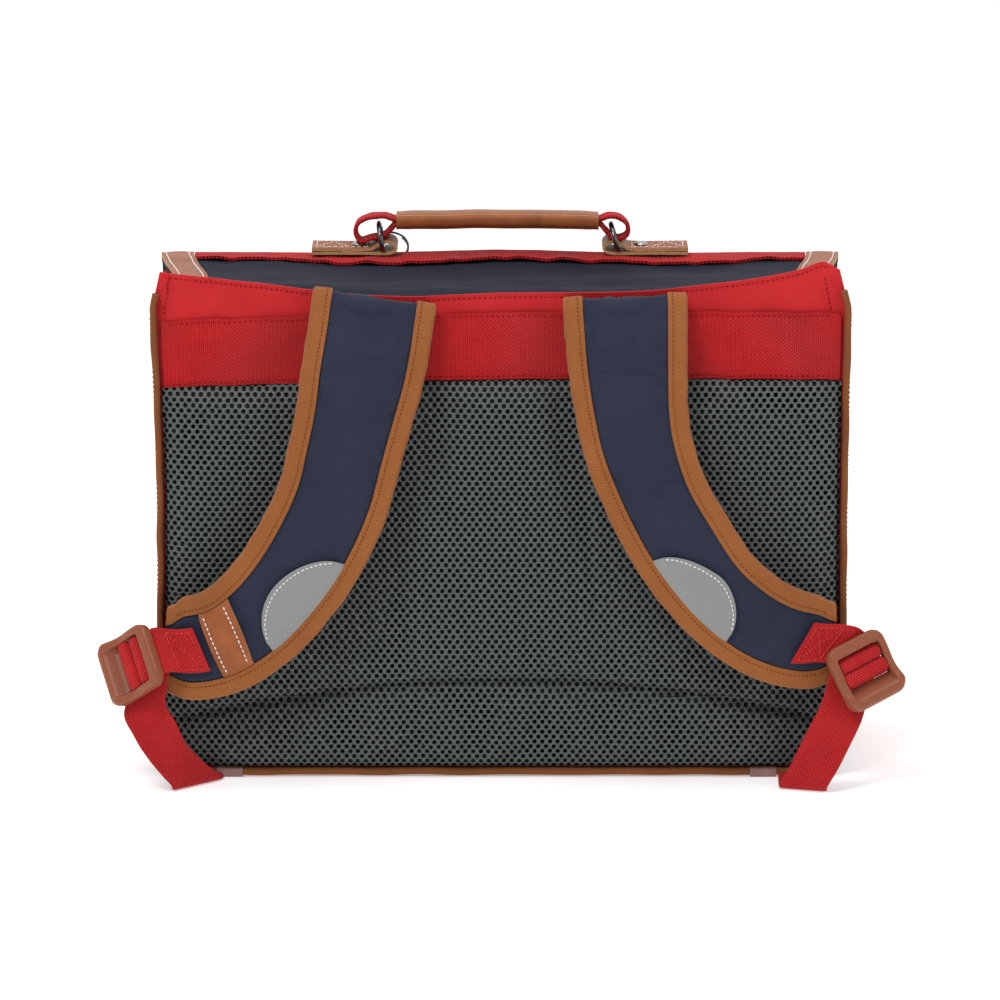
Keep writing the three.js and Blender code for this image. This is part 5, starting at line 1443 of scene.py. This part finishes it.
def handle_tab(side, sign):
    """Leather folded round a ring's foot, sewn to the ridge and riveted."""
    foot_x = sign * RING_SPACING / 2
    points = [
        (foot_x + sign * beyond * TAB_LENGTH, HANDLE_DEPTH, RIDGE_SEAT + above * LEATHER_WALL)
        for beyond, above in TAB_ROWS
    ]
    at = resample(0.9, spline(points, np.linspace(0, 1, 400)))[0]
    face = unit(np.cross(unit(np.gradient(at, axis=0)), -AWAY))[:, None]
    aside = np.linspace(-1, 1, 19) * HANDLE_TAB_WIDTH / 2
    base = at[:, None] - AWAY * aside[:, None]
    soft = 0.12 * ripple(base[..., :2], 9, 161)
    top = tilted(base + face * (LEATHER_WALL / 2 + soft)[..., None])
    bottom = tilted(base - face * LEATHER_WALL / 2)
    uv = stack(lengths(at)[:, None], aside)
    node = f"handle_tab_{side}"
    wall(f"{node}_leather", top, bottom, LEATHER, uv, RAW_EDGE, node=node, sharp=50)
    surface = RIDGE_SEAT + 1.72 * LEATHER_WALL + LEATHER_WALL / 2 + 0.12
    near, far, reach = 8.6, 38.6, 8.4
    box = ((near, -reach), (far, -reach), (far, reach), (near, reach), (near, -reach))
    zigzag = ((far - 1, -reach + 3), (far - 10, reach - 3), (far - 17, -reach + 3))
    share = np.linspace(0, 1, 8)
    for corners in (box, zigzag):
        for here, after in zip(corners, corners[1:]):
            along = foot_x + sign * mix(here[0], after[0], share)
            line = tilted(stack(along, HANDLE_DEPTH + mix(here[1], after[1], share), surface))
            stitch("white", line, (0, 0, 1.0), 2.5, 1.0, radius=0.32, seed=int(here[0] + 30 + after[1]))
    turn = np.linspace(0, math.pi / 2, 9)[:-1]
    spin = np.linspace(0, 2 * math.pi, 32, endpoint=False)
    radius = np.concatenate([[RIVET_RADIUS * 0.98], RIVET_RADIUS * np.cos(turn), [0.25]])[:, None]
    rise = np.concatenate([[-0.3], RIVET_HEIGHT * np.sin(turn), [RIVET_HEIGHT]])[:, None]
    middle = foot_x + sign * RIVET_FROM_RING
    rings = stack(middle + radius * np.cos(spin), HANDLE_DEPTH + radius * np.sin(spin), surface + rise)
    tube(f"rivet_{side}_cap", tilted(rings), STEEL, node=f"rivet_{side}", sharp=50)


def split_ring():
    tilt = math.radians(36)
    down = np.array([0, math.sin(tilt), -math.cos(tilt)])
    out = np.array([0, math.cos(tilt), math.sin(tilt)])
    top = (3.25 - RING_SPACING / 2, HANDLE_DEPTH + (RING_INSIDE + RING_WIRE) / 2 - 2.85, RING_FOOT + 7.1)
    centre = top + down * SPLIT_RING_RADIUS
    turns = SPLIT_RING_TURNS * np.linspace(-0.5, 0.5, 130)[:, None]
    turn = 2 * math.pi * turns - math.pi / 2
    line = centre + SPLIT_RING_RADIUS * (np.cos(turn) * [1, 0, 0] + np.sin(turn) * down) + out * 1.5 * turns
    wire("split_ring_wire", line, 0.65, DARK_METAL, out, sides=10, node="split_ring", sharp=None)


def clasps():
    low = FLAP_TOP - FLAP_HANG - 12
    high = low + CLASP_HEIGHT
    plate = FLAP_FRONT + 1.3
    hook = BODY_DEPTH / 2 + FRONT_BULGE + SEWN_GAP
    outline = np.array([
        (hook, low), (plate + 2.2, low), (plate + 3.4, low + 0.7), (plate + 4, low + 2),
        (plate + 4, high - 2), (plate + 3.4, high - 0.7), (plate + 2.2, high), (plate, high),
        (plate, low + 9), (hook, low + 9),
    ])
    at = np.array([-17, -16.6, -15.6, -14, 0, 14, 15.6, 16.6, 17])[:, None]
    shrink = np.array([0.97, 0.985, 0.995, 1, 1, 1, 0.995, 0.985, 0.97])[:, None, None]
    middle = outline.mean(axis=0)
    y, z = np.moveaxis(middle + (outline - middle) * shrink, -1, 0)
    for side, sign in SIDES:
        rings = stack(sign * CLASP_SPACING / 2 + at, y, z)
        tube(f"front_clasp_{side}_plate", rings, PLASTIC, node=f"front_clasp_{side}")


back_panel()
front_panel()
flap()
flap_webbing()
flap_trims()
gussets()
bindings()
sleeves()
base_panel()
pad_net(pad_foam())
upper_webbing()
shoulder_straps()
buckles()
strap_tabs()
lower_straps()
handle()
clasps()
sew("stitching_red", "red", THREAD_RED)
sew("stitching_bright_red", "bright", THREAD_BRIGHT)
sew("stitching_tan", "tan", THREAD_TAN)
sew("stitching_white", "white", THREAD_WHITE)


# Floor, light and camera

def place(name, data, at=(0, 0, 0), aim=None):
    """Puts a lamp, camera or mesh into the scene, looking at aim."""
    obj = bpy.data.objects.new(name, data)
    obj.location = at
    if aim:
        obj.rotation_euler = (Vector(aim) - obj.location).to_track_quat("-Z", "Y").to_euler()
    bpy.context.scene.collection.objects.link(obj)
    return obj


floor_mesh = bpy.data.meshes.new("floor")
floor_mesh.from_pydata([(-8, -6, 0), (8, -6, 0), (8, 14, 0), (-8, 14, 0)], [], [(0, 1, 2, 3)])
floor_look = Look("floor", rough=0.9)
floor_look.put("Base Color", (0.93, 0.93, 0.93, 1.0))
floor_look.put("Emission Color", (1.0, 1.0, 1.0, 1.0))
floor_look.put("Emission Strength", 0.34)
floor_mesh.materials.append(floor_look.material)
place("floor", floor_mesh)

world = bpy.data.worlds.new("studio")
bpy.context.scene.world = world
world.use_nodes = True
sky = world.node_tree.nodes
sky["Background"].inputs["Color"].default_value = (1, 1, 1, 1)
way = sky.new("ShaderNodeTexCoord")
parts = sky.new("ShaderNodeSeparateXYZ")
level = sky.new("ShaderNodeMapRange")
for socket, value in (("From Min", -0.5), ("From Max", 0.3), ("To Min", 0.3), ("To Max", 1.0)):
    level.inputs[socket].default_value = value
world.node_tree.links.new(way.outputs["Generated"], parts.inputs[0])
world.node_tree.links.new(parts.outputs[1], level.inputs["Value"])
world.node_tree.links.new(level.outputs[0], sky["Background"].inputs["Strength"])

for name, at, middle, size, watts in (
    ("key", (-0.8, -1.5, 2.1), 0.15, 0.9, 27),
    ("fill", (1.5, -1.6, 1.0), 0.15, 1.2, 5),
    ("top", (0.1, -0.2, 2.3), 0.2, 1.0, 10),
):
    lamp = bpy.data.lights.new(name, "AREA")
    lamp.shape = "DISK"
    lamp.size = size
    lamp.energy = watts
    place(name, lamp, at, (0, 0, middle))

camera_data = bpy.data.cameras.new("camera")
camera_data.sensor_width = 36
camera_data.lens = 189.47
camera_data.clip_end = 60
bpy.context.scene.camera = place("camera", camera_data, (0, -3.0267, 0.6964), (0, -0.075, 0.160))
bpy.context.scene.view_settings.view_transform = "Standard"
